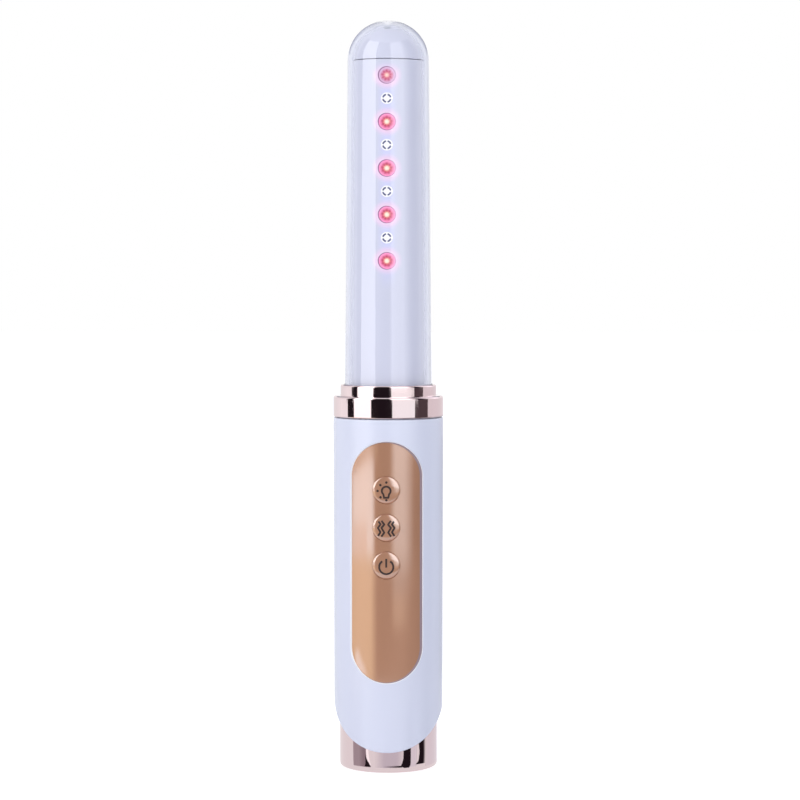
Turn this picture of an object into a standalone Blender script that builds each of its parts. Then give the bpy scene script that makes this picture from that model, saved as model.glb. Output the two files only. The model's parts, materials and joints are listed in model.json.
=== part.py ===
"""A light and vibration care wand, modelled as separate parts in metres with +Z up.

The wand stands on its plated base cap at z = 0 and its axis is the world Z axis.
The control panel and the column of lamps face -Y.
"""
import math

import bmesh
import bpy
from mathutils import Vector

# Clearances, cutters and facets
FIT = 0.0003
SEAL_GAP = 0.00015
OVERRUN = 0.0020
WELD_DISTANCE = 0.000001
TURN_STEPS = 40
SHELL_TURN_STEPS = 64
MEDIUM_TURN_STEPS = 24
SMALL_TURN_STEPS = 14
LED_TURN_STEPS = 12
WINDOW_TURN_STEPS = 16
SEAL_STEPS = 6
DOME_STEPS = 8
INNER_DOME_STEPS = 6
LENS_DOME_STEPS = 3
FILLET_STEPS = 2
STADIUM_STEPS = 12
TONGUE_STEPS = 36
LEAD_STEPS = 6
SHARP_ANGLE = math.radians(35.0)

# The handle and the base cap that closes its foot
HANDLE_HEIGHT = 0.1129
HANDLE_TAPER = 0.0002
HANDLE_TOP_SETBACK = 0.00004
HANDLE_WALL = 0.0020
HANDLE_SHOULDER_FILLET = 0.0004
SPIGOT_WALL = 0.0016
SPIGOT_ROOT = 0.0020
TONGUE_FOOT = 0.0068
TONGUE_HEIGHT = 0.0163
TONGUE_SIDE_MARGIN = 0.00015
BASE_STEP = 0.00173
BASE_CAP_HEIGHT = 0.0275
BASE_CAP_WALL = 0.0012
BASE_CAP_FLOOR = 0.0016
BASE_CAP_FILLET = 0.0010
BASE_CAP_RIM_FILLET = 0.0002
BASE_GROOVE_DEPTH = 0.00075
BASE_GROOVE_DROP = 0.0031

# The stepped collar that clamps the probe to the handle
LOWER_RING_HEIGHT = 0.0067
LOWER_RING_FILLET = 0.0006
LOWER_RING_FOOT_FILLET = 0.0003
LOWER_RING_STEP = 0.00225
UPPER_RING_HEIGHT = 0.0036
UPPER_RING_FILLET = 0.0005
UPPER_RING_LIP = 0.00147
COLLAR_WALL = 0.0015
COLLAR_ROOF = 0.0009
FLANGE_THICKNESS = 0.0009
NECK_SEAL_THICKNESS = 0.0007
NECK_SEAL_WIDTH = 0.0012

# The probe: a clear sleeve over a white core, its barrel measured from the collar to the dome
BARREL_LENGTH = 0.10345
PROBE_TIP_RADIUS = 0.01305
PROBE_ROOT_RADIUS = 0.01398
SLEEVE_WALL = 0.0013
CORE_WALL = 0.0013
CORE_TAIL = 0.0040
CORE_SEAM_DROP = 0.00002
TIP_PLUG_WALL = 0.0011
TIP_PLUG_LENGTH = 0.0022

# The column of lamps, red and blue in turn from the top down
FIRST_LAMP_DROP = 0.00522
LAMP_PITCH_SHARE = 0.07085
RED_LAMP_COUNT = 5
BLUE_LAMP_COUNT = 4
LAMP_HEIGHT = 0.0052
LAMP_TIP_GAP = 0.0004
LAMP_FLANGE_THICKNESS = 0.0008
RED_WINDOW_RADIUS = 0.00294
RED_LAMP_RADIUS = 0.00240
RED_FLANGE_RADIUS = 0.00275
BLUE_WINDOW_RADIUS = 0.00177
BLUE_LAMP_RADIUS = 0.00142
BLUE_FLANGE_RADIUS = 0.00175
LED_BOARD_THICKNESS = 0.0010
LED_BOARD_TAIL = 0.0060

# The vibration motor in the root of the probe
MOTOR_RADIUS = 0.0050
MOTOR_LENGTH = 0.0180
MOTOR_FILLET = 0.0004
MOTOR_DROP_SHARE = 0.15
SHAFT_RADIUS = 0.00075
SHAFT_DEPTH = 0.0080
SHAFT_STANDOUT = 0.0005
WEIGHT_RADIUS = 0.0042
WEIGHT_HUB_RADIUS = 0.0018
WEIGHT_LENGTH = 0.0050
WEIGHT_GAP = 0.0010
CRADLE_LENGTH = 0.0120
CRADLE_DROP = 0.0040
CRADLE_FLAT_SETBACK = 0.0030

# The control panel and its three buttons
PANEL_HALF_WIDTH = 0.0111
PANEL_TOP_DROP = 0.00725
PANEL_FOOT = 0.02940
PANEL_RECESS = 0.00015
PANEL_THICKNESS = 0.0009
PANEL_LEDGE = 0.0016
FIRST_BUTTON_DROP = 0.01496
BUTTON_PITCH = 0.01197
BUTTON_RADIUS = 0.00422
BUTTON_GAP = 0.00025
BUTTON_CROWN = 0.00025
BUTTON_FILLET = 0.00030
BUTTON_FLANGE_LIP = 0.0007
BUTTON_FLANGE_THICKNESS = 0.0005
BUTTON_TRAVEL = 0.0004
STEM_RADIUS = 0.0015
STEM_LENGTH = 0.0022
GUIDE_THICKNESS = 0.0009
GUIDE_WEB = 0.0018
GUIDE_END = 0.0055
GUIDE_LEG = 0.0012
PLUNGER_RADIUS = 0.0010
PLUNGER_LENGTH = 0.0014
SWITCH_HALF_SIDE = 0.00225
SWITCH_HEIGHT = 0.0019

# The electronics and the cell inside the handle
CELL_RADIUS = 0.0071
CELL_LENGTH = 0.0430
CELL_FILLET = 0.0006
CHASSIS_WALL = 0.0012
CHASSIS_END = 0.0050
CHASSIS_ARC_STEPS = 20
BOARD_THICKNESS = 0.0012
BOARD_OVERHANG = 0.0010
BOARD_TOP_DROP = 0.0095
CHIP_HALF_SIDE = 0.0035
CHIP_HEIGHT = 0.0012
SCREW_RADIUS = 0.0008
SCREW_LENGTH = 0.0045
SCREW_HEAD_RADIUS = 0.0017
SCREW_HEAD_HEIGHT = 0.0010
SCREW_OFFSET = 0.0060
RIBBON_HALF_WIDTH = 0.0025
RIBBON_THICKNESS = 0.00030
RIBBON_LAP = 0.0028
RIBBON_SLOPE_DROP = 0.0060
LEAD_RADIUS = 0.00035
LEAD_SIDE_OFFSET = 0.0020
LEAD_BEND_SHARE = 0.28
CELL_TAB_DROP = 0.0080
CELL_LEAD_SLACK_SHARE = 0.5
LEAD_LANDING_DROP = 0.0030

# The charging contacts in the floor of the base cap
PAD_RADIUS = 0.0015
PAD_HEAD_RADIUS = 0.0023
PAD_HEAD_HEIGHT = 0.0006
PAD_SETBACK = 0.0001
PAD_OFFSET = 0.0035
MAGNET_RADIUS = 0.0025
MAGNET_HEIGHT = 0.0015
MAGNET_OFFSET = 0.0056
CONTACT_BOARD_HALF_LENGTH = 0.0070
CONTACT_BOARD_HALF_WIDTH = 0.0027
CONTACT_BOARD_THICKNESS = 0.0010

# Sizes that follow from the ones above
COLLAR_FOOT = HANDLE_HEIGHT + FIT
COLLAR_STEP = COLLAR_FOOT + LOWER_RING_HEIGHT
COLLAR_TOP = COLLAR_STEP + UPPER_RING_HEIGHT
UPPER_RING_RADIUS = PROBE_ROOT_RADIUS + UPPER_RING_LIP
LOWER_RING_RADIUS = UPPER_RING_RADIUS + LOWER_RING_STEP
CHAMBER_RADIUS = LOWER_RING_RADIUS - COLLAR_WALL
CHAMBER_TOP = COLLAR_STEP - COLLAR_ROOF
SLEEVE_FOOT = CHAMBER_TOP - FIT - FLANGE_THICKNESS
CORE_FLANGE_FOOT = SLEEVE_FOOT - FIT - FLANGE_THICKNESS
NECK_SEAL_FOOT = CORE_FLANGE_FOOT - FIT - NECK_SEAL_THICKNESS
SPIGOT_TOP = NECK_SEAL_FOOT - FIT
SPIGOT_RADIUS = CHAMBER_RADIUS - FIT
FLANGE_RADIUS = SPIGOT_RADIUS - FIT
HANDLE_TOP_RADIUS = LOWER_RING_RADIUS - HANDLE_TOP_SETBACK
HANDLE_FOOT_RADIUS = HANDLE_TOP_RADIUS - HANDLE_TAPER
HANDLE_BORE = HANDLE_FOOT_RADIUS - HANDLE_WALL
BASE_CAP_RADIUS = HANDLE_FOOT_RADIUS - BASE_STEP
COUNTERBORE_RADIUS = BASE_CAP_RADIUS + FIT
DOME_BASE = COLLAR_TOP + BARREL_LENGTH
PANEL_TOP = HANDLE_HEIGHT - PANEL_TOP_DROP


def handle_radius(height):
    """Outer radius of the handle, which tapers towards its foot."""
    return HANDLE_FOOT_RADIUS + HANDLE_TAPER * height / HANDLE_HEIGHT


def sleeve_radius(height):
    """Outer radius of the probe's sleeve below its dome."""
    share = (DOME_BASE - height) / BARREL_LENGTH
    return PROBE_TIP_RADIUS + (PROBE_ROOT_RADIUS - PROBE_TIP_RADIUS) * share


def core_radius(height):
    """Outer radius of the white core inside the sleeve."""
    return sleeve_radius(height) - SLEEVE_WALL - FIT


PANEL_RADIUS = handle_radius((PANEL_TOP + PANEL_FOOT) / 2) - PANEL_RECESS
PANEL_BACK_RADIUS = PANEL_RADIUS - PANEL_THICKNESS
BUTTON_FLANGE_RADIUS = BUTTON_RADIUS + BUTTON_FLANGE_LIP

# Depths behind the panel, measured from the axis towards the front
FLANGE_FRONT = math.sqrt(PANEL_BACK_RADIUS ** 2 - BUTTON_FLANGE_RADIUS ** 2) - FIT
FLANGE_BACK = FLANGE_FRONT - BUTTON_FLANGE_THICKNESS
STEM_BACK = FLANGE_BACK - STEM_LENGTH
GUIDE_FRONT = FLANGE_BACK - BUTTON_TRAVEL - FIT
GUIDE_BACK = GUIDE_FRONT - GUIDE_THICKNESS
PLUNGER_FRONT = STEM_BACK - FIT
PLUNGER_BACK = PLUNGER_FRONT - PLUNGER_LENGTH
SWITCH_FRONT = PLUNGER_FRONT - BUTTON_TRAVEL - FIT
SWITCH_BACK = SWITCH_FRONT - SWITCH_HEIGHT
BOARD_FRONT = SWITCH_BACK - FIT
BOARD_BACK = BOARD_FRONT - BOARD_THICKNESS
CHASSIS_FRONT = BOARD_BACK - FIT

CELL_CENTRE = HANDLE_BORE - FIT - CHASSIS_WALL - FIT - CELL_RADIUS
CHASSIS_HALF_WIDTH = CELL_RADIUS + FIT + CHASSIS_WALL
CHASSIS_FOOT = BASE_CAP_HEIGHT + FIT
CELL_FOOT = CHASSIS_FOOT + CHASSIS_END + FIT
CELL_TOP = CELL_FOOT + CELL_LENGTH
CHASSIS_TOP = CELL_TOP + FIT + CHASSIS_END
BOARD_TOP = HANDLE_HEIGHT - BOARD_TOP_DROP

FIRST_LAMP = DOME_BASE - FIRST_LAMP_DROP
LAMP_PITCH = BARREL_LENGTH * LAMP_PITCH_SHARE
LAMP_COUNT = RED_LAMP_COUNT + BLUE_LAMP_COUNT
LAST_LAMP = FIRST_LAMP - LAMP_PITCH * (LAMP_COUNT - 1)
NARROW_CORE_RADIUS = min(core_radius(FIRST_LAMP), core_radius(LAST_LAMP))
LED_BOARD_FRONT = NARROW_CORE_RADIUS - LAMP_TIP_GAP - LAMP_HEIGHT
LED_BOARD_FOOT = LAST_LAMP - LED_BOARD_TAIL
CORE_FOOT = CORE_FLANGE_FOOT - CORE_TAIL
CORE_TOP = DOME_BASE - CORE_SEAM_DROP - FIT / 2
LED_BOARD_TOP = CORE_TOP - TIP_PLUG_LENGTH

MOTOR_ROOM = LED_BOARD_FOOT - CORE_FOOT - WEIGHT_LENGTH - WEIGHT_GAP - MOTOR_LENGTH
WEIGHT_TOP = LED_BOARD_FOOT - MOTOR_ROOM * MOTOR_DROP_SHARE
WEIGHT_FOOT = WEIGHT_TOP - WEIGHT_LENGTH
MOTOR_TOP = WEIGHT_FOOT - WEIGHT_GAP
MOTOR_FOOT = MOTOR_TOP - MOTOR_LENGTH
CRADLE_TOP = MOTOR_TOP - CRADLE_DROP
CRADLE_FOOT = CRADLE_TOP - CRADLE_LENGTH
CRADLE_RADIUS = min(core_radius(CRADLE_TOP), core_radius(CRADLE_FOOT)) - CORE_WALL - FIT
CRADLE_FLAT = CRADLE_RADIUS - CRADLE_FLAT_SETBACK

BUTTON_NAMES = ("light", "vibration", "power")
FIRST_BUTTON = PANEL_TOP - FIRST_BUTTON_DROP
GUIDE_TOP = FIRST_BUTTON + GUIDE_END
GUIDE_FOOT = FIRST_BUTTON - BUTTON_PITCH * (len(BUTTON_NAMES) - 1) - GUIDE_END
CHARGE_LANDING = CHASSIS_FOOT + LEAD_LANDING_DROP
CHIP_CENTRE = (GUIDE_FOOT + CHARGE_LANDING) / 2


def clear_scene():
    """Remove whatever the scene holds."""
    for thing in list(bpy.data.objects):
        bpy.data.objects.remove(thing)


def make_material(name, colour, roughness, metallic=0.0, transmission=0.0):
    """A Principled material with one colour and finish."""
    material = bpy.data.materials.new(name)
    material.use_nodes = True
    shader = material.node_tree.nodes["Principled BSDF"]
    shader.inputs["Base Color"].default_value = (*colour, 1.0)
    shader.inputs["Roughness"].default_value = roughness
    shader.inputs["Metallic"].default_value = metallic
    shader.inputs["Transmission Weight"].default_value = transmission
    material.diffuse_color = (*colour, 1.0)
    return material


def add_object(name, mesh_data, material=None):
    """Turn a bmesh into a named object, shaded smooth across gentle edges."""
    bmesh.ops.recalc_face_normals(mesh_data, faces=mesh_data.faces)
    mesh = bpy.data.meshes.new(name)
    mesh_data.to_mesh(mesh)
    mesh_data.free()
    mesh.shade_smooth()
    mesh.set_sharp_from_angle(angle=SHARP_ANGLE)
    if material is not None:
        mesh.materials.append(material)
    thing = bpy.data.objects.new(name, mesh)
    bpy.context.scene.collection.objects.link(thing)
    return thing


def turn(name, profile, material=None, steps=TURN_STEPS):
    """Turn a profile of (radius, height) points round the Z axis."""
    data = bmesh.new()
    verts = [data.verts.new((radius, 0, height)) for radius, height in profile]
    edges = [data.edges.new(pair) for pair in zip(verts, verts[1:])]
    if profile[0][0] > 0:
        edges.append(data.edges.new((verts[-1], verts[0])))
    bmesh.ops.spin(data, geom=verts + edges, cent=(0, 0, 0), axis=(0, 0, 1),
                   angle=math.tau, steps=steps, use_merge=True)
    bmesh.ops.remove_doubles(data, verts=data.verts, dist=WELD_DISTANCE)
    return add_object(name, data, material)


def prism(name, outline, plane, low, high, material=None):
    """Extrude an outline drawn in the XY, XZ or YZ plane along the third axis."""
    place = {"XY": lambda a, b: (a, b, low), "XZ": lambda a, b: (a, low, b), "YZ": lambda a, b: (low, a, b)}
    along = {"XY": (0, 0, high - low), "XZ": (0, high - low, 0), "YZ": (high - low, 0, 0)}
    data = bmesh.new()
    face = data.faces.new([data.verts.new(place[plane](a, b)) for a, b in outline])
    grown = bmesh.ops.extrude_face_region(data, geom=[face])
    moved = [item for item in grown["geom"] if isinstance(item, bmesh.types.BMVert)]
    bmesh.ops.translate(data, verts=moved, vec=along[plane])
    return add_object(name, data, material)


def block(name, half_width, front, back, foot, top, material=None):
    """A box with its width centred on x = 0, its depth given from the axis to the front."""
    outline = [(-half_width, -front), (half_width, -front), (half_width, -back), (-half_width, -back)]
    return prism(name, outline, "XY", foot, top, material)


def boolean(target, cutter, operation="DIFFERENCE"):
    """Cut a target with a cutter that stays in the file as a guide."""
    cutter.hide_render = True
    cutter.display_type = "WIRE"
    modifier = target.modifiers.new(cutter.name, "BOOLEAN")
    modifier.operation = operation
    modifier.object = cutter


def face_front(thing, depth, height, side=0.0):
    """Stand a turned part on the front: its own +Z then points to -Y."""
    thing.location = (side, -depth, height)
    thing.rotation_euler = (math.pi / 2, 0, 0)
    return thing


def rounded(corners):
    """Profile points from (radius, height, fillet) corners."""
    points = []
    for index, (radius, height, fillet) in enumerate(corners):
        here = Vector((radius, height))
        if fillet == 0:
            points.append(tuple(here))
            continue
        back = (Vector(corners[index - 1][:2]) - here).normalized()
        ahead = (Vector(corners[(index + 1) % len(corners)][:2]) - here).normalized()
        half_angle = back.angle(ahead) / 2
        centre = here + (back + ahead).normalized() * fillet / math.sin(half_angle)
        first = here + back * fillet / math.tan(half_angle) - centre
        last = here + ahead * fillet / math.tan(half_angle) - centre
        start = math.atan2(first.y, first.x)
        sweep = (math.atan2(last.y, last.x) - start + math.pi) % math.tau - math.pi
        points += arc(fillet, start, start + sweep, FILLET_STEPS, centre.x, centre.y)
    return points


def arc(radius, first_angle, last_angle, steps, centre_x=0.0, centre_y=0.0):
    """Points along an arc, its angles measured from the first axis."""
    angles = [first_angle + (last_angle - first_angle) * step / steps for step in range(steps + 1)]
    return [(centre_x + radius * math.cos(angle), centre_y + radius * math.sin(angle)) for angle in angles]


def dome(radius, base, steps):
    """Profile points from a dome's top on the axis down to its base circle."""
    points = arc(radius, math.pi / 2, 0, steps, 0, base)
    return [(0, base + radius)] + points[1:]


def stadium(half_width, foot, top):
    """A slot outline with round ends, in the XZ plane."""
    upper = arc(half_width, 0, math.pi, STADIUM_STEPS, 0, top - half_width)
    lower = arc(half_width, math.pi, math.tau, STADIUM_STEPS, 0, foot + half_width)
    return upper + lower


def curved_plate(name, half_width, foot, top, inner, outer, material=None):
    """A slot-shaped plate bent round the handle, between two radii."""
    low = foot - OVERRUN
    high = top + OVERRUN
    plate = turn(name, [(outer, low), (outer, high), (inner, high), (inner, low)], material)
    outline = prism(name + "_outline", stadium(half_width, foot, top), "XZ", -outer - OVERRUN, 0)
    boolean(plate, outline, "INTERSECT")
    return plate


def front_hole(name, radius, front, back, height, side=0.0, steps=MEDIUM_TURN_STEPS):
    """A round cutter that runs in from the front, turned half a facet to clear the part's own edges."""
    profile = [(0, 0), (radius, 0), (radius, front - back), (0, front - back)]
    hole = face_front(turn(name, profile, None, steps), back, height, side)
    hole.rotation_euler.y = math.pi / steps
    return hole


def button_height(index):
    """Height of a button's centre, counted from the top one."""
    return FIRST_BUTTON - BUTTON_PITCH * index


def make_sleeve(material):
    """Clear outer sleeve with its dome and its foot flange."""
    inner_dome = dome(PROBE_TIP_RADIUS - SLEEVE_WALL, DOME_BASE, INNER_DOME_STEPS)
    profile = dome(PROBE_TIP_RADIUS, DOME_BASE, DOME_STEPS)
    profile += [(sleeve_radius(SLEEVE_FOOT + FLANGE_THICKNESS), SLEEVE_FOOT + FLANGE_THICKNESS),
                (FLANGE_RADIUS, SLEEVE_FOOT + FLANGE_THICKNESS),
                (FLANGE_RADIUS, SLEEVE_FOOT),
                (sleeve_radius(SLEEVE_FOOT) - SLEEVE_WALL, SLEEVE_FOOT)]
    profile += inner_dome[::-1]
    return turn("probe_sleeve", profile, material)


def make_core(material):
    """White inner tube with a row of lamp windows down its front."""
    flange_top = CORE_FLANGE_FOOT + FLANGE_THICKNESS
    profile = [(core_radius(CORE_TOP), CORE_TOP),
               (core_radius(flange_top), flange_top),
               (FLANGE_RADIUS, flange_top),
               (FLANGE_RADIUS, CORE_FLANGE_FOOT),
               (core_radius(CORE_FLANGE_FOOT), CORE_FLANGE_FOOT),
               (core_radius(CORE_FOOT), CORE_FOOT),
               (core_radius(CORE_FOOT) - CORE_WALL, CORE_FOOT),
               (core_radius(CORE_TOP) - CORE_WALL, CORE_TOP)]
    core = turn("probe_core", profile, material)
    for index in range(LAMP_COUNT):
        radius = BLUE_WINDOW_RADIUS if index % 2 else RED_WINDOW_RADIUS
        height = FIRST_LAMP - LAMP_PITCH * index
        window = front_hole("lamp_window_%d" % index, radius, PROBE_ROOT_RADIUS, LED_BOARD_FRONT, height,
                            steps=WINDOW_TURN_STEPS)
        boolean(core, window)
    return core


def make_core_tip(material):
    """White cap that closes the core, with a plug that centres it in the tube."""
    radius = PROBE_TIP_RADIUS - SLEEVE_WALL - FIT
    foot = CORE_TOP + FIT
    plug_radius = core_radius(CORE_TOP) - CORE_WALL - FIT
    bore = plug_radius - TIP_PLUG_WALL
    start = math.asin((foot - DOME_BASE) / radius)
    outer = arc(radius, math.pi / 2, start, INNER_DOME_STEPS, 0, DOME_BASE)
    profile = [(0, DOME_BASE + radius)] + outer[1:]
    profile += [(plug_radius, foot), (plug_radius, foot - TIP_PLUG_LENGTH), (bore, foot - TIP_PLUG_LENGTH)]
    profile += dome(bore, DOME_BASE, LENS_DOME_STEPS)[::-1]
    return turn("core_tip", profile, material, MEDIUM_TURN_STEPS)


def make_led_board(material):
    """Long circuit board that carries the lamps."""
    inner = min(core_radius(CORE_TOP), core_radius(LED_BOARD_FOOT)) - CORE_WALL - FIT
    half_width = math.sqrt(inner ** 2 - LED_BOARD_FRONT ** 2)
    back = LED_BOARD_FRONT - LED_BOARD_THICKNESS
    return block("led_board", half_width, LED_BOARD_FRONT, back, LED_BOARD_FOOT, LED_BOARD_TOP, material)


def make_lamp(name, radius, flange_radius, height, material):
    """One lamp: a flanged body with a domed lens, seated on its board."""
    shoulder = LAMP_HEIGHT - radius
    lens = arc(radius, 0, math.pi / 2, LENS_DOME_STEPS, 0, shoulder)
    profile = [(0, 0), (flange_radius, 0), (flange_radius, LAMP_FLANGE_THICKNESS)]
    profile.append((radius, LAMP_FLANGE_THICKNESS))
    profile += lens[:-1] + [(0, LAMP_HEIGHT)]
    return face_front(turn(name, profile, material, LED_TURN_STEPS), LED_BOARD_FRONT + FIT, height)


def make_lamps(red, blue):
    """Red lamps and blue lamps by turns, from the top down."""
    for index in range(RED_LAMP_COUNT):
        height = FIRST_LAMP - LAMP_PITCH * 2 * index
        make_lamp("red_led_%d" % (index + 1), RED_LAMP_RADIUS, RED_FLANGE_RADIUS, height, red)
    for index in range(BLUE_LAMP_COUNT):
        height = FIRST_LAMP - LAMP_PITCH * (2 * index + 1)
        make_lamp("blue_led_%d" % (index + 1), BLUE_LAMP_RADIUS, BLUE_FLANGE_RADIUS, height, blue)


def make_motor(steel, brass, plastic):
    """Vibration motor, its cradle, and the shaft and weight that spin."""
    bore = SHAFT_RADIUS + FIT
    hole_floor = MOTOR_TOP - SHAFT_DEPTH
    corners = [(0, hole_floor, 0), (0, MOTOR_FOOT, 0), (MOTOR_RADIUS, MOTOR_FOOT, MOTOR_FILLET),
               (MOTOR_RADIUS, MOTOR_TOP, MOTOR_FILLET), (bore, MOTOR_TOP, 0), (bore, hole_floor, 0)]
    profile = rounded(corners[1:] + corners[:1])
    turn("motor_can", profile, steel, MEDIUM_TURN_STEPS)

    cradle_bore = MOTOR_RADIUS + FIT
    cradle = turn("motor_cradle", [(CRADLE_RADIUS, CRADLE_FOOT), (CRADLE_RADIUS, CRADLE_TOP),
                                   (cradle_bore, CRADLE_TOP), (cradle_bore, CRADLE_FOOT)],
                  plastic, MEDIUM_TURN_STEPS)
    flat = block("cradle_flat", CRADLE_RADIUS + OVERRUN, CRADLE_RADIUS + OVERRUN, CRADLE_FLAT,
                 CRADLE_FOOT - OVERRUN, CRADLE_TOP + OVERRUN)
    boolean(cradle, flat)

    shaft_foot = hole_floor + FIT
    shaft_top = WEIGHT_TOP + SHAFT_STANDOUT
    pin = [(0, shaft_foot), (SHAFT_RADIUS, shaft_foot), (SHAFT_RADIUS, shaft_top), (0, shaft_top)]
    shaft = turn("motor_shaft", pin, steel, SMALL_TURN_STEPS)

    hub = arc(WEIGHT_HUB_RADIUS, math.pi, math.tau, SMALL_TURN_STEPS // 2)
    lobe = arc(WEIGHT_RADIUS, 0, math.pi, SMALL_TURN_STEPS)
    weight = prism("eccentric_weight", hub + lobe, "XY", WEIGHT_FOOT, WEIGHT_TOP, brass)
    weight_bore = turn("weight_bore", [(0, WEIGHT_FOOT - OVERRUN), (bore, WEIGHT_FOOT - OVERRUN),
                                       (bore, WEIGHT_TOP + OVERRUN), (0, WEIGHT_TOP + OVERRUN)],
                       None, SMALL_TURN_STEPS)
    boolean(weight, weight_bore)
    weight.parent = shaft


def make_collar(plating, rubber):
    """Stepped plated ring over the joint between probe and handle, and the seal inside it."""
    bore = sleeve_radius(CHAMBER_TOP) + FIT
    corners = [(UPPER_RING_RADIUS, COLLAR_TOP, UPPER_RING_FILLET),
               (UPPER_RING_RADIUS, COLLAR_STEP, 0),
               (LOWER_RING_RADIUS, COLLAR_STEP, LOWER_RING_FILLET),
               (LOWER_RING_RADIUS, COLLAR_FOOT, LOWER_RING_FOOT_FILLET),
               (CHAMBER_RADIUS, COLLAR_FOOT, 0),
               (CHAMBER_RADIUS, CHAMBER_TOP, 0),
               (bore, CHAMBER_TOP, 0),
               (bore, COLLAR_TOP, 0)]
    turn("collar", rounded(corners), plating)
    seal_top = NECK_SEAL_FOOT + NECK_SEAL_THICKNESS
    seal_bore = FLANGE_RADIUS - NECK_SEAL_WIDTH
    turn("neck_seal", [(FLANGE_RADIUS, NECK_SEAL_FOOT), (FLANGE_RADIUS, seal_top),
                       (seal_bore, seal_top), (seal_bore, NECK_SEAL_FOOT)], rubber, MEDIUM_TURN_STEPS)


def tongue_outline():
    """What is cut from the shell's foot: all below a hanging half ellipse."""
    half_width = HANDLE_FOOT_RADIUS + TONGUE_SIDE_MARGIN
    centre = TONGUE_FOOT + TONGUE_HEIGHT
    curve = [(half_width * math.cos(angle), centre + TONGUE_HEIGHT * math.sin(angle))
             for angle in (-math.pi * step / TONGUE_STEPS for step in range(TONGUE_STEPS + 1))]
    side = half_width + OVERRUN
    return [(-side, -OVERRUN), (side, -OVERRUN), (side, centre)] + curve + [(-side, centre)]


def make_shell(material):
    """White handle: a tube with a panel recess, a window and two hanging tongues."""
    inner_top = HANDLE_HEIGHT - SPIGOT_ROOT
    spigot_bore = SPIGOT_RADIUS - SPIGOT_WALL
    counterbore_top = BASE_CAP_HEIGHT + FIT
    corners = [(handle_radius(0), FIT, 0),
               (HANDLE_TOP_RADIUS, HANDLE_HEIGHT, HANDLE_SHOULDER_FILLET),
               (SPIGOT_RADIUS, HANDLE_HEIGHT, 0),
               (SPIGOT_RADIUS, SPIGOT_TOP, 0),
               (spigot_bore, SPIGOT_TOP, 0),
               (spigot_bore, inner_top, 0),
               (handle_radius(inner_top) - HANDLE_WALL, inner_top, 0),
               (handle_radius(counterbore_top) - HANDLE_WALL, counterbore_top, 0),
               (COUNTERBORE_RADIUS, counterbore_top, 0),
               (COUNTERBORE_RADIUS, FIT, 0)]
    shell = turn("handle_shell", rounded(corners), material, SHELL_TURN_STEPS)
    reach = HANDLE_TOP_RADIUS + OVERRUN
    boolean(shell, prism("tongue_cutter", tongue_outline(), "XZ", -reach, reach))
    recess = curved_plate("panel_recess", PANEL_HALF_WIDTH + FIT, PANEL_FOOT - FIT, PANEL_TOP + FIT,
                          PANEL_BACK_RADIUS - FIT, reach)
    boolean(shell, recess)
    window = stadium(PANEL_HALF_WIDTH - PANEL_LEDGE, PANEL_FOOT + PANEL_LEDGE, PANEL_TOP - PANEL_LEDGE)
    boolean(shell, prism("panel_window", window, "XZ", -reach, 0))
    return shell


def make_panel(material):
    """Curved control panel with three button holes, let into the shell."""
    panel = curved_plate("control_panel", PANEL_HALF_WIDTH, PANEL_FOOT, PANEL_TOP,
                         PANEL_BACK_RADIUS, PANEL_RADIUS, material)
    for index, name in enumerate(BUTTON_NAMES):
        hole = front_hole(name + "_hole", BUTTON_RADIUS + BUTTON_GAP, PANEL_RADIUS + OVERRUN,
                          FLANGE_BACK, button_height(index))
        boolean(panel, hole)
    return panel


def make_button(name, height, cap_material, steel, plastic):
    """One push button with its stem, and the plunger and body of its switch.

    The cap's origin is on its line of travel, at the panel's face.
    """
    flange = FLANGE_FRONT - PANEL_RADIUS
    stem = FLANGE_BACK - PANEL_RADIUS
    end = STEM_BACK - PANEL_RADIUS
    corners = [(0, end, 0), (STEM_RADIUS, end, 0), (STEM_RADIUS, stem, 0), (BUTTON_FLANGE_RADIUS, stem, 0),
               (BUTTON_FLANGE_RADIUS, flange, 0), (BUTTON_RADIUS, flange, 0),
               (BUTTON_RADIUS, 0, BUTTON_FILLET), (0, BUTTON_CROWN, 0)]
    cap = face_front(turn(name + "_button", rounded(corners), cap_material, MEDIUM_TURN_STEPS),
                     PANEL_RADIUS, height)

    depth = PLUNGER_BACK - PANEL_RADIUS
    plunger = turn(name + "_plunger", [(0, 0), (PLUNGER_RADIUS, 0), (PLUNGER_RADIUS, PLUNGER_LENGTH),
                                       (0, PLUNGER_LENGTH)], plastic, LED_TURN_STEPS)
    plunger.parent = cap
    plunger.location = (0, 0, depth)

    switch = block(name + "_switch", SWITCH_HALF_SIDE, SWITCH_FRONT, SWITCH_BACK,
                   height - SWITCH_HALF_SIDE, height + SWITCH_HALF_SIDE, steel)
    well = front_hole(name + "_well", PLUNGER_RADIUS + FIT, SWITCH_FRONT + OVERRUN,
                      PLUNGER_BACK - BUTTON_TRAVEL - FIT, height)
    boolean(switch, well)


def make_guide(material):
    """Bridge on the main board whose bores guide the button stems."""
    seat = BOARD_FRONT + FIT
    outline = [(-seat, GUIDE_FOOT), (-GUIDE_FRONT, GUIDE_FOOT), (-GUIDE_FRONT, GUIDE_TOP), (-seat, GUIDE_TOP),
               (-seat, GUIDE_TOP - GUIDE_LEG), (-GUIDE_BACK, GUIDE_TOP - GUIDE_LEG),
               (-GUIDE_BACK, GUIDE_FOOT + GUIDE_LEG), (-seat, GUIDE_FOOT + GUIDE_LEG)]
    half_width = STEM_RADIUS + FIT + GUIDE_WEB
    guide = prism("button_guide", outline, "YZ", -half_width, half_width, material)
    for index, name in enumerate(BUTTON_NAMES):
        bore = front_hole(name + "_bore", STEM_RADIUS + FIT, GUIDE_FRONT + OVERRUN,
                          GUIDE_BACK - FIT, button_height(index))
        boolean(guide, bore)


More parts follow.
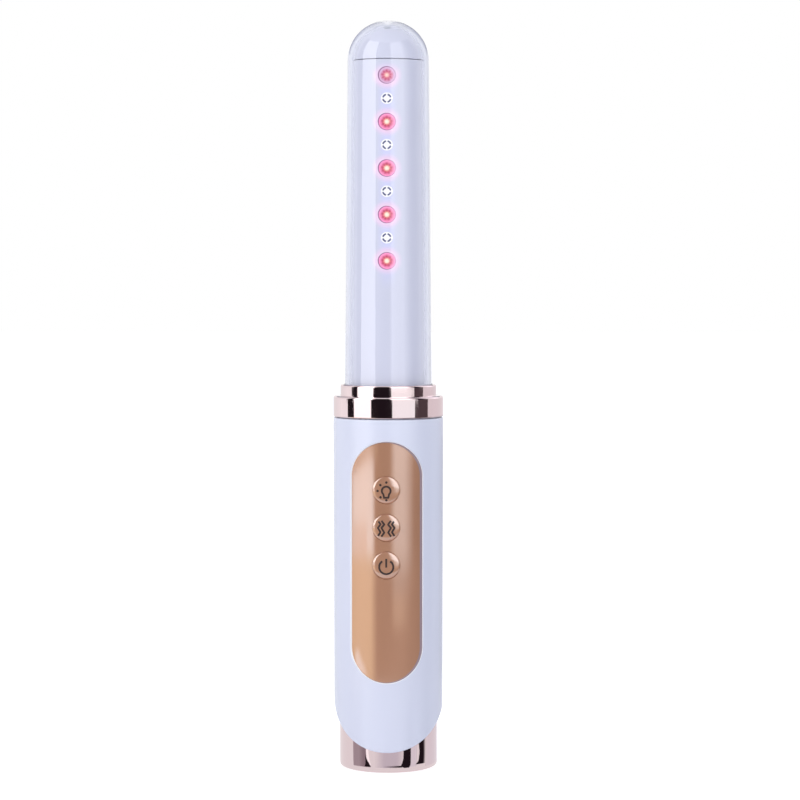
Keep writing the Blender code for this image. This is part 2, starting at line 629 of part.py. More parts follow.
def screw_places():
    """Side and height of the two screws that hold the main board."""
    return (("upper", SCREW_OFFSET, CHASSIS_TOP - CHASSIS_END / 2),
            ("lower", -SCREW_OFFSET, CHASSIS_FOOT + CHASSIS_END / 2))


def make_main_board(board_material, chip_material):
    """Main circuit board with its screw holes and its control chip."""
    half_width = CHASSIS_HALF_WIDTH + BOARD_OVERHANG
    board = block("main_board", half_width, BOARD_FRONT, BOARD_BACK, CHASSIS_FOOT, BOARD_TOP, board_material)
    for name, side, height in screw_places():
        boolean(board, front_hole(name + "_board_hole", SCREW_RADIUS + FIT, BOARD_FRONT + OVERRUN,
                                  BOARD_BACK - OVERRUN, height, side))
    chip_back = BOARD_FRONT + FIT
    block("control_chip", CHIP_HALF_SIDE, chip_back + CHIP_HEIGHT, chip_back,
          CHIP_CENTRE - CHIP_HALF_SIDE, CHIP_CENTRE + CHIP_HALF_SIDE, chip_material)


def tray_outline(half_width, front):
    """A trough outline in the XY plane, open to the front and round at the back."""
    back = arc(half_width, 0, math.pi, CHASSIS_ARC_STEPS, 0, CELL_CENTRE)
    return [(-half_width, -front), (half_width, -front)] + back


def make_chassis(plastic, cell_wrap, steel):
    """Tray that holds the cell behind the main board, the cell, and the board's screws."""
    chassis = prism("inner_chassis", tray_outline(CHASSIS_HALF_WIDTH, CHASSIS_FRONT), "XY",
                    CHASSIS_FOOT, CHASSIS_TOP, plastic)
    pocket = prism("cell_pocket", tray_outline(CELL_RADIUS + FIT, CHASSIS_FRONT + OVERRUN), "XY",
                   CELL_FOOT - FIT, CELL_TOP + FIT)
    boolean(chassis, pocket)
    screw_tip = BOARD_FRONT + FIT - SCREW_LENGTH
    for name, side, height in screw_places():
        boolean(chassis, front_hole(name + "_chassis_hole", SCREW_RADIUS + FIT, CHASSIS_FRONT + OVERRUN,
                                    screw_tip - FIT, height, side))
        head_top = SCREW_LENGTH + SCREW_HEAD_HEIGHT
        profile = [(0, 0), (SCREW_RADIUS, 0), (SCREW_RADIUS, SCREW_LENGTH), (SCREW_HEAD_RADIUS, SCREW_LENGTH),
                   (SCREW_HEAD_RADIUS, head_top), (0, head_top)]
        face_front(turn("board_screw_" + name, profile, steel, LED_TURN_STEPS), screw_tip, height, side)
    corners = [(0, CELL_FOOT, 0), (CELL_RADIUS, CELL_FOOT, CELL_FILLET),
               (CELL_RADIUS, CELL_TOP, CELL_FILLET), (0, CELL_TOP, 0)]
    cell = turn("battery_cell", rounded(corners), cell_wrap, MEDIUM_TURN_STEPS)
    cell.location = (0, CELL_CENTRE, 0)


def make_base(plating, rubber):
    """Plated cup that closes the handle's foot, and the seal in its groove."""
    groove_floor = BASE_CAP_RADIUS - BASE_GROOVE_DEPTH
    seal_radius = (COUNTERBORE_RADIUS - groove_floor) / 2 - SEAL_GAP
    groove_half = seal_radius + SEAL_GAP
    groove_centre = BASE_CAP_HEIGHT - BASE_GROOVE_DROP
    inner = BASE_CAP_RADIUS - BASE_CAP_WALL
    corners = [(0, 0, 0),
               (BASE_CAP_RADIUS, 0, BASE_CAP_FILLET),
               (BASE_CAP_RADIUS, groove_centre - groove_half, 0),
               (groove_floor, groove_centre - groove_half, 0),
               (groove_floor, groove_centre + groove_half, 0),
               (BASE_CAP_RADIUS, groove_centre + groove_half, 0),
               (BASE_CAP_RADIUS, BASE_CAP_HEIGHT, BASE_CAP_RIM_FILLET),
               (inner, BASE_CAP_HEIGHT, 0),
               (inner, BASE_CAP_FLOOR, 0),
               (0, BASE_CAP_FLOOR, 0)]
    cap = turn("base_cap", rounded(corners), plating)
    for name, side in (("left", -PAD_OFFSET), ("right", PAD_OFFSET)):
        radius = PAD_RADIUS + FIT
        high = BASE_CAP_FLOOR + OVERRUN
        hole = turn(name + "_pad_hole", [(0, -OVERRUN), (radius, -OVERRUN), (radius, high), (0, high)],
                    None, SMALL_TURN_STEPS)
        hole.location = (side, 0, 0)
        boolean(cap, hole)
    seal_centre = (COUNTERBORE_RADIUS + groove_floor) / 2
    ring = arc(seal_radius, 0, math.tau, SEAL_STEPS, seal_centre, groove_centre)
    turn("base_seal", ring[:-1], rubber)


def make_contacts(gold, magnet, board_material):
    """Charging pads in the base cap's floor, their board, and the magnets beside them."""
    pad_seat = BASE_CAP_FLOOR + FIT
    pad_top = pad_seat + PAD_HEAD_HEIGHT
    profile = [(0, PAD_SETBACK), (PAD_RADIUS, PAD_SETBACK), (PAD_RADIUS, pad_seat),
               (PAD_HEAD_RADIUS, pad_seat), (PAD_HEAD_RADIUS, pad_top), (0, pad_top)]
    for name, side in (("left", -PAD_OFFSET), ("right", PAD_OFFSET)):
        turn("contact_pad_" + name, profile, gold, SMALL_TURN_STEPS).location = (side, 0, 0)
    puck = [(0, pad_seat), (MAGNET_RADIUS, pad_seat), (MAGNET_RADIUS, pad_seat + MAGNET_HEIGHT),
            (0, pad_seat + MAGNET_HEIGHT)]
    for name, place in (("front", -MAGNET_OFFSET), ("rear", MAGNET_OFFSET)):
        turn("contact_magnet_" + name, puck, magnet, SMALL_TURN_STEPS).location = (0, place, 0)
    half_width = CONTACT_BOARD_HALF_WIDTH
    block("contact_board", CONTACT_BOARD_HALF_LENGTH, half_width, -half_width, pad_top + FIT,
          pad_top + FIT + CONTACT_BOARD_THICKNESS, board_material)


def make_ribbon(material):
    """Flat cable from the lamp board, past the motor, to the front of the main board."""
    half = RIBBON_THICKNESS / 2
    on_lamps = LED_BOARD_FRONT + FIT + half
    past_motor = CRADLE_FLAT + FIT + half
    on_board = BOARD_FRONT + FIT + half
    start = LED_BOARD_FOOT + RIBBON_LAP
    centre = [(on_lamps, start),
              (on_lamps, LED_BOARD_FOOT - FIT),
              (past_motor, LED_BOARD_FOOT - RIBBON_SLOPE_DROP),
              (past_motor, CORE_FOOT),
              (on_board, BOARD_TOP + FIT),
              (on_board, BOARD_TOP - RIBBON_LAP)]
    front = [(-depth - half, height) for depth, height in centre]
    back = [(-depth + half, height) for depth, height in centre]
    prism("led_ribbon", front + back[::-1], "YZ", -RIBBON_HALF_WIDTH, RIBBON_HALF_WIDTH, material)


def make_lead(name, start, start_way, end, end_way, material, bend_share=LEAD_BEND_SHARE):
    """A thin insulated wire on one smooth bend between two terminals."""
    first = Vector(start)
    last = Vector(end)
    bend = (last - first).length * bend_share
    leave = first + Vector(start_way) * bend
    arrive = last - Vector(end_way) * bend
    curve = bpy.data.curves.new(name, "CURVE")
    curve.dimensions = "3D"
    curve.bevel_depth = LEAD_RADIUS
    curve.bevel_resolution = 1
    curve.use_fill_caps = True
    spline = curve.splines.new("POLY")
    spline.points.add(LEAD_STEPS)
    for index, point in enumerate(spline.points):
        t = index / LEAD_STEPS
        weights = ((1 - t) ** 3, 3 * t * (1 - t) ** 2, 3 * t ** 2 * (1 - t), t ** 3)
        place = sum((w * p for w, p in zip(weights, (first, leave, arrive, last))), Vector())
        point.co = (*place, 1)
    curve.materials.append(material)
    wire = bpy.data.objects.new(name, curve)
    bpy.context.scene.collection.objects.link(wire)


def make_leads(red, black):
    """Wires from the motor, the cell and the charging contacts to the main board."""
    down = (0, 0, -1)
    up = (0, 0, 1)
    forward = (0, -1, 0)
    backward = (0, 1, 0)
    contact_top = BASE_CAP_FLOOR + PAD_HEAD_HEIGHT + CONTACT_BOARD_THICKNESS + 3 * FIT
    behind_board = -BOARD_BACK + FIT
    before_board = -BOARD_FRONT - FIT
    motor_landing = BOARD_TOP - LEAD_LANDING_DROP
    cell_level = CELL_TOP - CELL_TAB_DROP
    cell_front = CELL_CENTRE - math.sqrt(CELL_RADIUS ** 2 - LEAD_SIDE_OFFSET ** 2) - FIT
    for colour, side, material in (("red", 1, red), ("black", -1, black)):
        x = side * LEAD_SIDE_OFFSET
        make_lead("motor_lead_" + colour, (x, 0, MOTOR_FOOT - FIT), down, (x, behind_board, motor_landing),
                  forward, material)
        make_lead("cell_lead_" + colour, (x, cell_front - FIT, cell_level), forward,
                  (x, behind_board, cell_level - LEAD_LANDING_DROP), forward, material, CELL_LEAD_SLACK_SHARE)
        make_lead("charge_lead_" + colour, (x, 0, contact_top + FIT), up, (x, before_board, CHARGE_LANDING),
                  backward, material)


def build():
    """Model the whole wand."""
    clear_scene()
    white = make_material("white_plastic", (0.80, 0.82, 0.90), 0.22)
    core_white = make_material("core_white", (0.78, 0.80, 0.88), 0.30)
    clear = make_material("clear_plastic", (0.95, 0.96, 1.00), 0.03, 0.0, 1.0)
    plating = make_material("rose_plating", (0.83, 0.66, 0.66), 0.08, 1.0)
    satin = make_material("satin_rose_gold", (0.62, 0.36, 0.25), 0.32, 1.0)
    rubber = make_material("grey_silicone", (0.30, 0.31, 0.33), 0.60)
    frame_plastic = make_material("frame_plastic", (0.12, 0.12, 0.13), 0.50)
    red_lens = make_material("red_lens", (0.90, 0.10, 0.20), 0.15)
    blue_lens = make_material("blue_lens", (0.35, 0.40, 0.95), 0.15)
    board = make_material("circuit_board", (0.06, 0.25, 0.12), 0.45)
    chip = make_material("chip_black", (0.03, 0.03, 0.03), 0.40)
    steel = make_material("steel", (0.62, 0.62, 0.64), 0.30, 1.0)
    brass = make_material("brass", (0.70, 0.55, 0.25), 0.30, 1.0)
    gold = make_material("contact_gold", (0.85, 0.62, 0.25), 0.20, 1.0)
    wrap = make_material("cell_wrap", (0.10, 0.25, 0.55), 0.35)
    ribbon = make_material("ribbon_amber", (0.55, 0.30, 0.08), 0.40)
    red_wire = make_material("red_wire", (0.65, 0.05, 0.05), 0.45)
    black_wire = make_material("black_wire", (0.03, 0.03, 0.03), 0.45)

    make_sleeve(clear)
    make_core(core_white)
    make_core_tip(core_white)
    make_led_board(board)
    make_lamps(red_lens, blue_lens)
    make_motor(steel, brass, frame_plastic)
    make_collar(plating, rubber)
    make_shell(white)
    make_panel(satin)
    for index, name in enumerate(BUTTON_NAMES):
        make_button(name, button_height(index), satin, steel, frame_plastic)
    make_guide(frame_plastic)
    make_main_board(board, chip)
    make_chassis(frame_plastic, wrap, steel)
    make_base(plating, rubber)
    make_contacts(gold, steel, board)
    make_ribbon(ribbon)
    make_leads(red_wire, black_wire)


build()
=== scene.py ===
"""Studio scene of a light and vibration care wand, dressed over its CAD frame.

Metres, +Z up, the wand's axis on the world Z axis. The panel and the lamps face -Y.
"""

import json
import math

import bmesh
import bpy
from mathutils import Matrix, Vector


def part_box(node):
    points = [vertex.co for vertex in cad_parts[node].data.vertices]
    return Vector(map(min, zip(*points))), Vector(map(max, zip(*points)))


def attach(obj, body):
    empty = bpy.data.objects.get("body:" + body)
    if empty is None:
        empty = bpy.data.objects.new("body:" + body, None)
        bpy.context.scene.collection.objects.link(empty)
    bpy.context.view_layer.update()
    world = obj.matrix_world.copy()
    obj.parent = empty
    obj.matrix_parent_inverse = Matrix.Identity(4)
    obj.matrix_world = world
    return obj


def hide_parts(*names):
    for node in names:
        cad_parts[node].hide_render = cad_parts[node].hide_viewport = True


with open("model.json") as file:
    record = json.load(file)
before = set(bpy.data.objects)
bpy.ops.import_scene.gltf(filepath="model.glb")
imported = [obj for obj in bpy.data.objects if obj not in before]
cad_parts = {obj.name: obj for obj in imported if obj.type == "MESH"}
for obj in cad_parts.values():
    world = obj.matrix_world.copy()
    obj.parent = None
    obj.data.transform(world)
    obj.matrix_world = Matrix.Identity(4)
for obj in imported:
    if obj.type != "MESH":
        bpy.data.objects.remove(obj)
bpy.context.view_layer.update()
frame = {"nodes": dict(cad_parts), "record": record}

# Camera, fitted on the photograph's rings and lamps
CAMERA_DISTANCE = 0.808
CAMERA_HEIGHT = 0.159
CAMERA_TILT = math.radians(2.88)
CAMERA_AZIMUTH = math.radians(2.2)
FOCAL_PX = 2508.0
IMAGE_PX = 800.0
AXIS_PX = 388.3
SENSOR = 36.0

# Mesh fineness
TURN_STEPS = 160
FILLET_STEPS = 6
DOME_STEPS = 40
LAMP_STEPS = 48
OUTLINE_STEPS = 48
DOT_STEPS = 16
BULB_STEPS = 32
POWER_STEPS = 40
CARD_STEPS = 96
PLATE_ROWS = 60
BARREL_ROWS = 48
BEVEL_SEGMENTS = 3
BEVEL_WEIGHT = 100
WELD_DISTANCE = 1e-7
SOFT_WELD = 2e-6
SUPPORT_MARGIN = 0.00004
SHARP_ANGLE = math.radians(32.0)
OVERRUN = 0.002

# The parts' own sizes that the frame's boxes don't give
FIT = 0.0003
PROBE_TIP_RADIUS = 0.01305
PROBE_ROOT_RADIUS = 0.01398
SLEEVE_WALL = 0.0013
CORE_WALL = 0.0013
FLANGE_THICKNESS = 0.0009
TIP_PLUG_LENGTH = 0.0022
TIP_WALL = 0.0014
RED_LAMPS = 5
BLUE_LAMPS = 4
RED_WINDOW_RADIUS = 0.00276
BLUE_WINDOW_RADIUS = 0.00177
RED_LENS_RADIUS = 0.00240
BLUE_LENS_RADIUS = 0.00142
LAMP_FLANGE_THICKNESS = 0.0008
LOWER_RING_HEIGHT = 0.0067
LOWER_RING_STEP = 0.00225
LOWER_RING_FILLET = 0.0006
LOWER_RING_FOOT_FILLET = 0.0003
UPPER_RING_FILLET = 0.0005
COLLAR_WALL = 0.0015
COLLAR_ROOF = 0.0009
HANDLE_TAPER = 0.0002
HANDLE_WALL = 0.0020
HANDLE_HEIGHT = 0.1129
SHOULDER_FILLET = 0.0004
SPIGOT_WALL = 0.0016
SPIGOT_ROOT = 0.0020
TONGUE_HEIGHT = 0.0163
TONGUE_SIDE_MARGIN = 0.00015
TONGUE_SHIFT = 0.00025
TONGUE_POWER = 2.1
TONGUE_LIP_FILLET = 0.00035
PANEL_LEDGE = 0.0016
PANEL_EDGE_FILLET = 0.00018
PANEL_THICKNESS = 0.0009
PANEL_NARROWING = 0.0003
PANEL_SHIFT = -0.00028
RIM_DROP = 0.0001
RIM_REACH = 0.0005
# The grey strip round the panel is painted shade for the shadow in its gap
GAP_SHADE_REACH = 0.00025
GAP_SHADE_SHIFT = 0.0001
BUTTON_RADIUS = 0.00422
BUTTON_GAP = 0.00025
BUTTON_CROWN = 0.00025
BUTTON_DOME = 0.0006
SKIRT_REACH = 0.00022
SKIRT_DROP = 0.00008
BUTTON_FLANGE_THICKNESS = 0.0005
STEM_RADIUS = 0.0015
BASE_WALL = 0.0012
BASE_FLOOR = 0.0016
BASE_FILLET = 0.0010
BASE_RIM_FILLET = 0.0002
BASE_GROOVE_DEPTH = 0.00075
BASE_GROOVE_DROP = 0.0031
PAD_OFFSET = 0.0035
PAD_HOLE_RADIUS = 0.0018

# Button signs, drawn in millimetres on each button's face
MM = 0.001
SIGN_STROKE = 0.62
SIGN_STEP = 0.25
SIGN_DOT = 0.40
SIGN_RELIEF = 1.5e-5
SIGN_SINK = 0.00004
BULB_RADIUS = 1.38
BULB_CENTRE = -0.25
BULB_SPAN = (math.radians(-48), math.radians(228))
BULB_NECK = 0.66
BULB_BASE = 0.90
BULB_FOOT = -2.4
BULB_DOTS = ((0.05, 2.42), (-1.85, 1.60), (-2.73, -0.25), (-1.80, -2.28), (0.05, -3.20))
ZIGZAGS = (((1.50, 2.25), (0.58, 1.06), (1.52, 0.0), (0.62, -1.50), (1.55, -2.80)),
           ((2.45, 2.05), (1.78, 1.10), (2.65, 0.0), (1.82, -1.35), (2.60, -2.62)))
POWER_RADIUS = 2.24
POWER_CENTRE = -0.50
POWER_SPAN = (math.radians(124), math.radians(416))
POWER_BAR = ((0, 2.15), (0, -0.65))

# Lamp surrounds in the core's windows: cups and discs given the lamps' emission as a painted glow, red rims as
# a painted shade line; and the mark on the core's tip
CUP_INNER_RADIUS = 0.00225
CUP_OUTER_RADIUS = 0.00272
CUP_THICKNESS = 0.00015
RIM_RADIUS = 0.00264
RIM_WIDTH = 0.00030
RIM_THIN_SHARE = 0.25
DISC_INNER_RADIUS = 0.00100
DISC_OUTER_RADIUS = 0.00183
ARC_RADIUS = 0.00119
ARC_WIDTH = 0.00048
ARC_HALF_ANGLE = math.radians(33.0)
SURROUND_SINK = 0.00004
SURROUND_LIFT = 0.00003
GATE_ANGLE = math.radians(59.0)
GATE_RADIUS = 0.0011

# Surfaces: sizes in metres, and pairs of values from one end of a range to the other
FINE_DETAIL = 4.0
BROAD_DETAIL = 2.0
BROAD_GRAIN = 20
GLOSS_RANGE = (0.9, 1.1)
CLEAR_COLOUR = (0.985, 0.988, 1.0)
CLEAR_IOR = 1.52
CLEAR_WEAR_SIZE = 0.02
CLEAR_WEAR_DETAIL = 1.0
CLEAR_WEAR = (0.005, 0.02)
MILKY_COLOUR = (0.73, 0.76, 0.90)
MILKY_EDGE = (0.36, 0.62)
MILKY_RISE = (1.2, 0.6)
MILKY_SHARE = 0.78
LENS_COLOUR = (0.05, 0.04, 0.05)
LENS_ROUGHNESS = 0.12
LENS_GLOSS = (0.08, 0.18)
LENS_GLOSS_SIZE = 0.0008
LENS_GRAIN = 0.0006
LENS_WANDER = 0.02
RED_LENS_REACH = 0.0029
BLUE_LENS_REACH = 0.0020
RAY_SHARE = 0.75
RAY_COUNT = 9.0
RAY_WANDER = 14.0
RAY_RED = (0.46, 0.02, 0.08)
RAY_EDGE = (-0.2, 0.8)
RAY_START = (0.18, 0.36)
RAY_END = (0.74, 0.50)
# Painted glow and painted pink halo on the core, standing in for the lamps' light seen through it
GLOW_HALF_WIDTH = 0.0036
GLOW_BLUE = (0.10, 0.09, 1.0)
GLOW_PINK = (0.42, 0.04, 0.24)
GLOW_STRENGTH = 0.15
HALO_REACH = 0.0051
PAINTED_HALO_PINK = (0.98, 0.70, 0.90)
PAINTED_HALO_SHARE = 0.68
LACQUER_ROUGHNESS = 0.07
LACQUER_IOR = 2.6

# Studio cards. Angles are measured from the camera's own direction, + to its right.
CARD_START = 0.0165
NEARER = 0.60
NEAR = 0.61
FAR = 0.62
PROBE_TIER = (0.0965, 0.95)
UPPER_RING_TIER = (0.0885, 0.0965)
LOWER_RING_TIER = (0.068, 0.0885)
PANEL_TIER = (0.0, 0.068)
WARM_TIER = (0.0, 0.020)
ROOM_TIER = (0.0, 1.5)
TIP_TIER = (0.33, 1.40)
BLACK = (0.016, 0.010, 0.014)
BROWN = (0.090, 0.066, 0.072)
VIOLET = (0.04, 0.04, 0.13)
AMBIENT = (0.66, 0.67, 0.73)
WHITE = (1.0, 1.0, 1.0)
FLOOR_COLOUR = (0.86, 0.86, 0.87)
FLOOR_SIZE = 12.0
FLOOR_DROP = 0.0001
FLOOR_GLOSS = 0.95
FLOOR_LIFT = 0.52

# Standing cards by tier: name, reach, first and last angle, light, fade at the first and at the last edge
STANDING = (
    ("probe", PROBE_TIER, (
        ("flag_left", NEAR, -98, -78, (0.00, 0.00, 0.01), 9, 0),
        ("box_left", FAR, -78, -35, (3.10, 3.10, 3.10)),
        ("flag_camera", NEAR, -35, 10, (0.02, 0.02, 0.02), 0, 9),
        ("box_right", FAR, 0, 72, (2.40, 2.40, 2.45)),
        ("flag_right", NEAR, 42, 95, (0.00, 0.00, 0.02), 24, 18),
        ("side_right", FAR, 98, 145, (1.50, 1.50, 1.58), 16, 16))),
    ("upper", UPPER_RING_TIER, (
        ("flag_left", FAR, -99, -80, BLACK),
        ("box_left", FAR, -80, -36.8, (1.60, 1.60, 1.60)),
        ("flag_camera", FAR, -36.8, 6.5, BLACK),
        ("box_right", FAR, 6.5, 65, (1.18, 1.20, 1.18)),
        ("flag_right", FAR, 65, 92.5, BROWN),
        ("side", FAR, 92.5, 180, (0.88, 0.84, 0.86)))),
    ("lower", LOWER_RING_TIER, (
        ("flag_left", FAR, -94.4, -76.5, BLACK),
        ("box_left", FAR, -76.5, -36.3, (1.60, 1.60, 1.60)),
        ("flag_camera", FAR, -36.3, 8.2, BLACK),
        ("box_right", FAR, 8.2, 57.5, (1.18, 1.26, 1.26)),
        ("flag_right", FAR, 57.5, 91, BROWN),
        ("side", FAR, 91, 180, (0.90, 0.86, 0.88)))),
    ("panel", PANEL_TIER, (("box_left", NEAR, -83, -27, (1.66, 1.68, 1.70), 6, 8),)),
    ("panel", WARM_TIER, (("warm_left", NEARER, -83, -44, (1.36, 1.18, 1.10), 6, 5),)),
    ("panel", PANEL_TIER, (
        ("flag", FAR, -40, 110, (0.02, 0.02, 0.02), 0, 10),
        ("box_right", NEAR, 3, 56, (1.00, 1.00, 1.00), 12, 22),
        ("side_right", FAR, 108, 178, (0.50, 0.50, 0.53), 14, 0))),
    ("upper", UPPER_RING_TIER, (("side_left", FAR, -150, -99, (1.14, 1.15, 1.15), 34, 0),)),
    ("lower", LOWER_RING_TIER, (("side_left", FAR, -150, -94.4, (1.14, 1.15, 1.15), 34, 0),)),
    ("tip", TIP_TIER, (
        ("card_left", FAR, -176, -138, VIOLET, 0, 12),
        ("card_right", FAR, 142, 177, VIOLET, 12, 0))),
)

# Upper left corner of the panel's left card, darkened: rows of (reach, height, first angle, last angle)
CORNER_LIGHT = (0.42, 0.31, 0.22)
CORNER_FADE = 3
CORNER_ROWS = ((NEARER, 0.0485, -95, -78), (NEARER, 0.0530, -95, -56), (NEARER, 0.0565, -95, -43),
               (NEARER, 0.0580, -95, -20), (NEARER, 0.0680, -95, -20))

# Floor cards: name, light, fades, height, then rows of (reach, first angle, last angle)
LYING = (
    ("panel_floor_left", (1.10, 0.82, 0.50), 6, 10, 0.0010,
     ((0.17, -90, -18), (0.62, -90, -18))),
    ("panel_floor_patch", (1.9, 1.8, 1.75), 3, 5, 0.0014,
     ((0.19, -52, -42), (0.205, -72, -48), (0.25, -78, -64))),
    ("panel_floor_flag", (0.14, 0.09, 0.07), 14, 10, 0.0014,
     ((0.17, -38, 110), (0.62, -38, 110))),
    ("panel_floor_far", (0.75, 0.75, 0.75), 12, 22, 0.0018,
     ((0.53, 3, 56), (0.62, 3, 56))),
    ("panel_floor_near", (0.35, 0.35, 0.35), 12, 22, 0.0018,
     ((0.43, 3, 52), (0.53, 3, 54))),
    ("panel_floor_side", (0.64, 0.64, 0.67), 14, 0, 0.0010,
     ((0.17, 108, 178), (0.62, 108, 178))),
    ("panel_floor_warm", (0.60, 0.44, 0.32), 10, 22, 0.0018,
     ((0.32, 5, 48), (0.43, 5, 50))),
    ("base_grey", (0.44, 0.38, 0.41), 2, 0, 0.0004,
     ((0.006, -94, -45), (0.03, -94, -55), (0.15, -94, -57))),
    ("base_grey_inner", (0.31, 0.25, 0.28), 14, 0, 0.00045,
     ((0.006, -75, -50), (0.03, -75, -55), (0.15, -75, -57))),
    ("base_foot", BLACK, 0, 0, 0.0005,
     ((0.006, -60, -42), (0.012, -57, -47), (0.026, -57, -56.5))),
    ("base_stripe", (1.30, 1.30, 1.30), 0, 1, 0.0004,
     ((0.010, -50, -42), (0.03, -57, -48), (0.15, -58, -50))),
    ("base_middle", (0.68, 0.66, 0.72), 24, 22, 0.0004,
     ((0.006, -34, 42), (0.15, -34, 42))),
    ("base_line", BLACK, 40, 0, 0.0005,
     ((0.0055, -14, 34), (0.0085, -14, 34))),
    ("base_flag_right", BLACK, 0, 0, 0.0006,
     ((0.004, 39, 51), (0.008, 30, 55), (0.02, 36, 55.3), (0.15, 37, 55))),
    ("base_pale", (0.85, 0.85, 0.90), 0, 3, 0.0004,
     ((0.006, 54, 72), (0.15, 54.5, 74))),
    ("base_flag_far", BLACK, 0, 7.5, 0.0006,
     ((0.008, 68, 101), (0.014, 77, 101), (0.03, 80, 101), (0.15, 73, 101))),
    ("base_side", (0.87, 0.86, 0.90), 4, 0, 0.0004,
     ((0.004, 100, 180), (0.15, 100, 180))),
)

# Soft lights on matt surfaces: name, first and last angle, light
LIGHTS = (
    ("light_left", -78, -35, (1.70, 1.70, 1.70)),
    ("light_right", 8, 62, (1.42, 1.44, 1.50)),
    ("light_flag", 58, 92, (0.05, 0.06, 0.09)),
)


def low(node):
    """Lowest corner of a CAD node's box."""
    return Vector(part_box(node)[0])


def high(node):
    """Highest corner of a CAD node's box."""
    return Vector(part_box(node)[1])


def middle(node):
    """Centre of a CAD node's box."""
    return (low(node) + high(node)) / 2


def arc(radius, first, last, steps, centre_x=0.0, centre_y=0.0):
    """Points along an arc."""
    angles = [first + (last - first) * step / steps for step in range(steps + 1)]
    return [(centre_x + radius * math.cos(angle), centre_y + radius * math.sin(angle)) for angle in angles]


def rounded(corners):
    """Profile points from (radius, height, fillet) corners, each fillet held between two close points."""
    points = []
    for index, (radius, height, fillet) in enumerate(corners):
        here = Vector((radius, height))
        if fillet == 0:
            points.append(tuple(here))
            continue
        back = (Vector(corners[index - 1][:2]) - here).normalized()
        ahead = (Vector(corners[(index + 1) % len(corners)][:2]) - here).normalized()
        half_angle = back.angle(ahead) / 2
        centre = here + (back + ahead).normalized() * fillet / math.sin(half_angle)
        first = here + back * fillet / math.tan(half_angle) - centre
        last = here + ahead * fillet / math.tan(half_angle) - centre
        start = math.atan2(first.y, first.x)
        sweep = (math.atan2(last.y, last.x) - start + math.pi) % math.tau - math.pi
        points.append(tuple(centre + first + back * SUPPORT_MARGIN))
        points += arc(fillet, start, start + sweep, FILLET_STEPS, centre.x, centre.y)
        points.append(tuple(centre + last + ahead * SUPPORT_MARGIN))
    return points


def new_object(name, data):
    """A new object in the scene."""
    thing = bpy.data.objects.new(name, data)
    bpy.context.scene.collection.objects.link(thing)
    return thing


def link(name, data, material=None):
    """Turn a bmesh into a smooth-shaded object."""
    bmesh.ops.remove_doubles(data, verts=data.verts, dist=WELD_DISTANCE)
    bmesh.ops.recalc_face_normals(data, faces=data.faces)
    mesh = bpy.data.meshes.new(name)
    data.to_mesh(mesh)
    data.free()
    shade(mesh)
    if material is not None:
        mesh.materials.append(material)
    return new_object(name, mesh)


def bridge(data, first, second, closed=True):
    """Faces between two rows of points; a closed row joins its last point to its first."""
    count = len(first)
    for index in range(count if closed else count - 1):
        nearby = (index + 1) % count
        data.faces.new((first[index], first[nearby], second[nearby], second[index]))


def skin(name, columns, material=None, closed=True):
    """Skin a ring of columns of points."""
    data = bmesh.new()
    grid = [[data.verts.new(point) for point in column] for column in columns]
    for index, column in enumerate(grid):
        bridge(data, column, grid[(index + 1) % len(grid)], closed)
    return link(name, data, material)


def turned(profile, turn):
    """A profile of (radius, height) points, set at one angle round the Z axis."""
    return [(radius * math.cos(turn), radius * math.sin(turn), height) for radius, height in profile]


def lathe(name, profile, steps=TURN_STEPS, material=None):
    """Turn a profile of (radius, height) points round the Z axis."""
    turns = [math.tau * step / steps for step in range(steps)]
    columns = [turned(profile, turn) for turn in turns]
    return skin(name, columns, material, closed=profile[0][0] > 0)


def prism(name, outline, depth):
    """Extrude an outline drawn in the XZ plane from a depth in front back to the axis."""
    data = bmesh.new()
    face = data.faces.new([data.verts.new((x, -depth, z)) for x, z in outline])
    grown = bmesh.ops.extrude_face_region(data, geom=[face])
    moved = [item for item in grown["geom"] if isinstance(item, bmesh.types.BMVert)]
    bmesh.ops.translate(data, verts=moved, vec=(0, depth, 0))
    return link(name, data)


def face_front(thing, depth, height):
    """Stand a turned piece on the front: its own +Z then points to -Y."""
    thing.location = (0, -depth, height)
    thing.rotation_euler = (math.pi / 2, 0, 0)


def cut(target, cutter, operation="DIFFERENCE"):
    """Apply a boolean and remove its cutter."""
    modifier = target.modifiers.new("cut", "BOOLEAN")
    modifier.operation = operation
    modifier.object = cutter
    modifier.solver = "EXACT"
    apply_modifiers(target)
    shade(target.data)
    bpy.data.objects.remove(cutter)


def apply_modifiers(thing):
    """Bake an object's modifiers into its mesh."""
    graph = bpy.context.evaluated_depsgraph_get()
    mesh = bpy.data.meshes.new_from_object(thing.evaluated_get(graph))
    thing.modifiers.clear()
    thing.data = mesh


def shade(mesh):
    """Shade a mesh smooth between its sharp edges."""
    mesh.shade_smooth()
    mesh.set_sharp_from_angle(angle=SHARP_ANGLE)


def drum(name, radius, foot, top, material=None):
    """A short round bar on the Z axis."""
    return lathe(name, [(0, foot), (radius, foot), (radius, top), (0, top)], LAMP_STEPS, material)


def hole(radius, depth, height):
    """A round cutter from the axis out through the front."""
    cutter = drum("hole", radius, 0, depth)
    face_front(cutter, 0, height)
    cutter.rotation_euler.y = math.pi / LAMP_STEPS
    bpy.context.view_layer.update()
    return cutter


def stadium(half_width, foot, top, side=0.0):
    """A slot outline with round ends."""
    upper = arc(half_width, 0, math.pi, OUTLINE_STEPS, side, top - half_width)
    lower = arc(half_width, math.pi, math.tau, OUTLINE_STEPS, side, foot + half_width)
    return upper + lower


# Materials

DOME_BASE = high("probe_sleeve").z - PROBE_TIP_RADIUS


def fill(tree, node, inputs):
    """Set or link a node's inputs, each given as a number, a colour, a socket or a node's first output."""
    for name, value in inputs.items():
        socket = node.inputs[name]
        value = value.outputs[0] if isinstance(value, bpy.types.Node) else value
        if isinstance(value, bpy.types.NodeSocket):
            tree.links.new(value, socket)
        else:
            socket.default_value = (*value, 1.0) if socket.type == "RGBA" else value


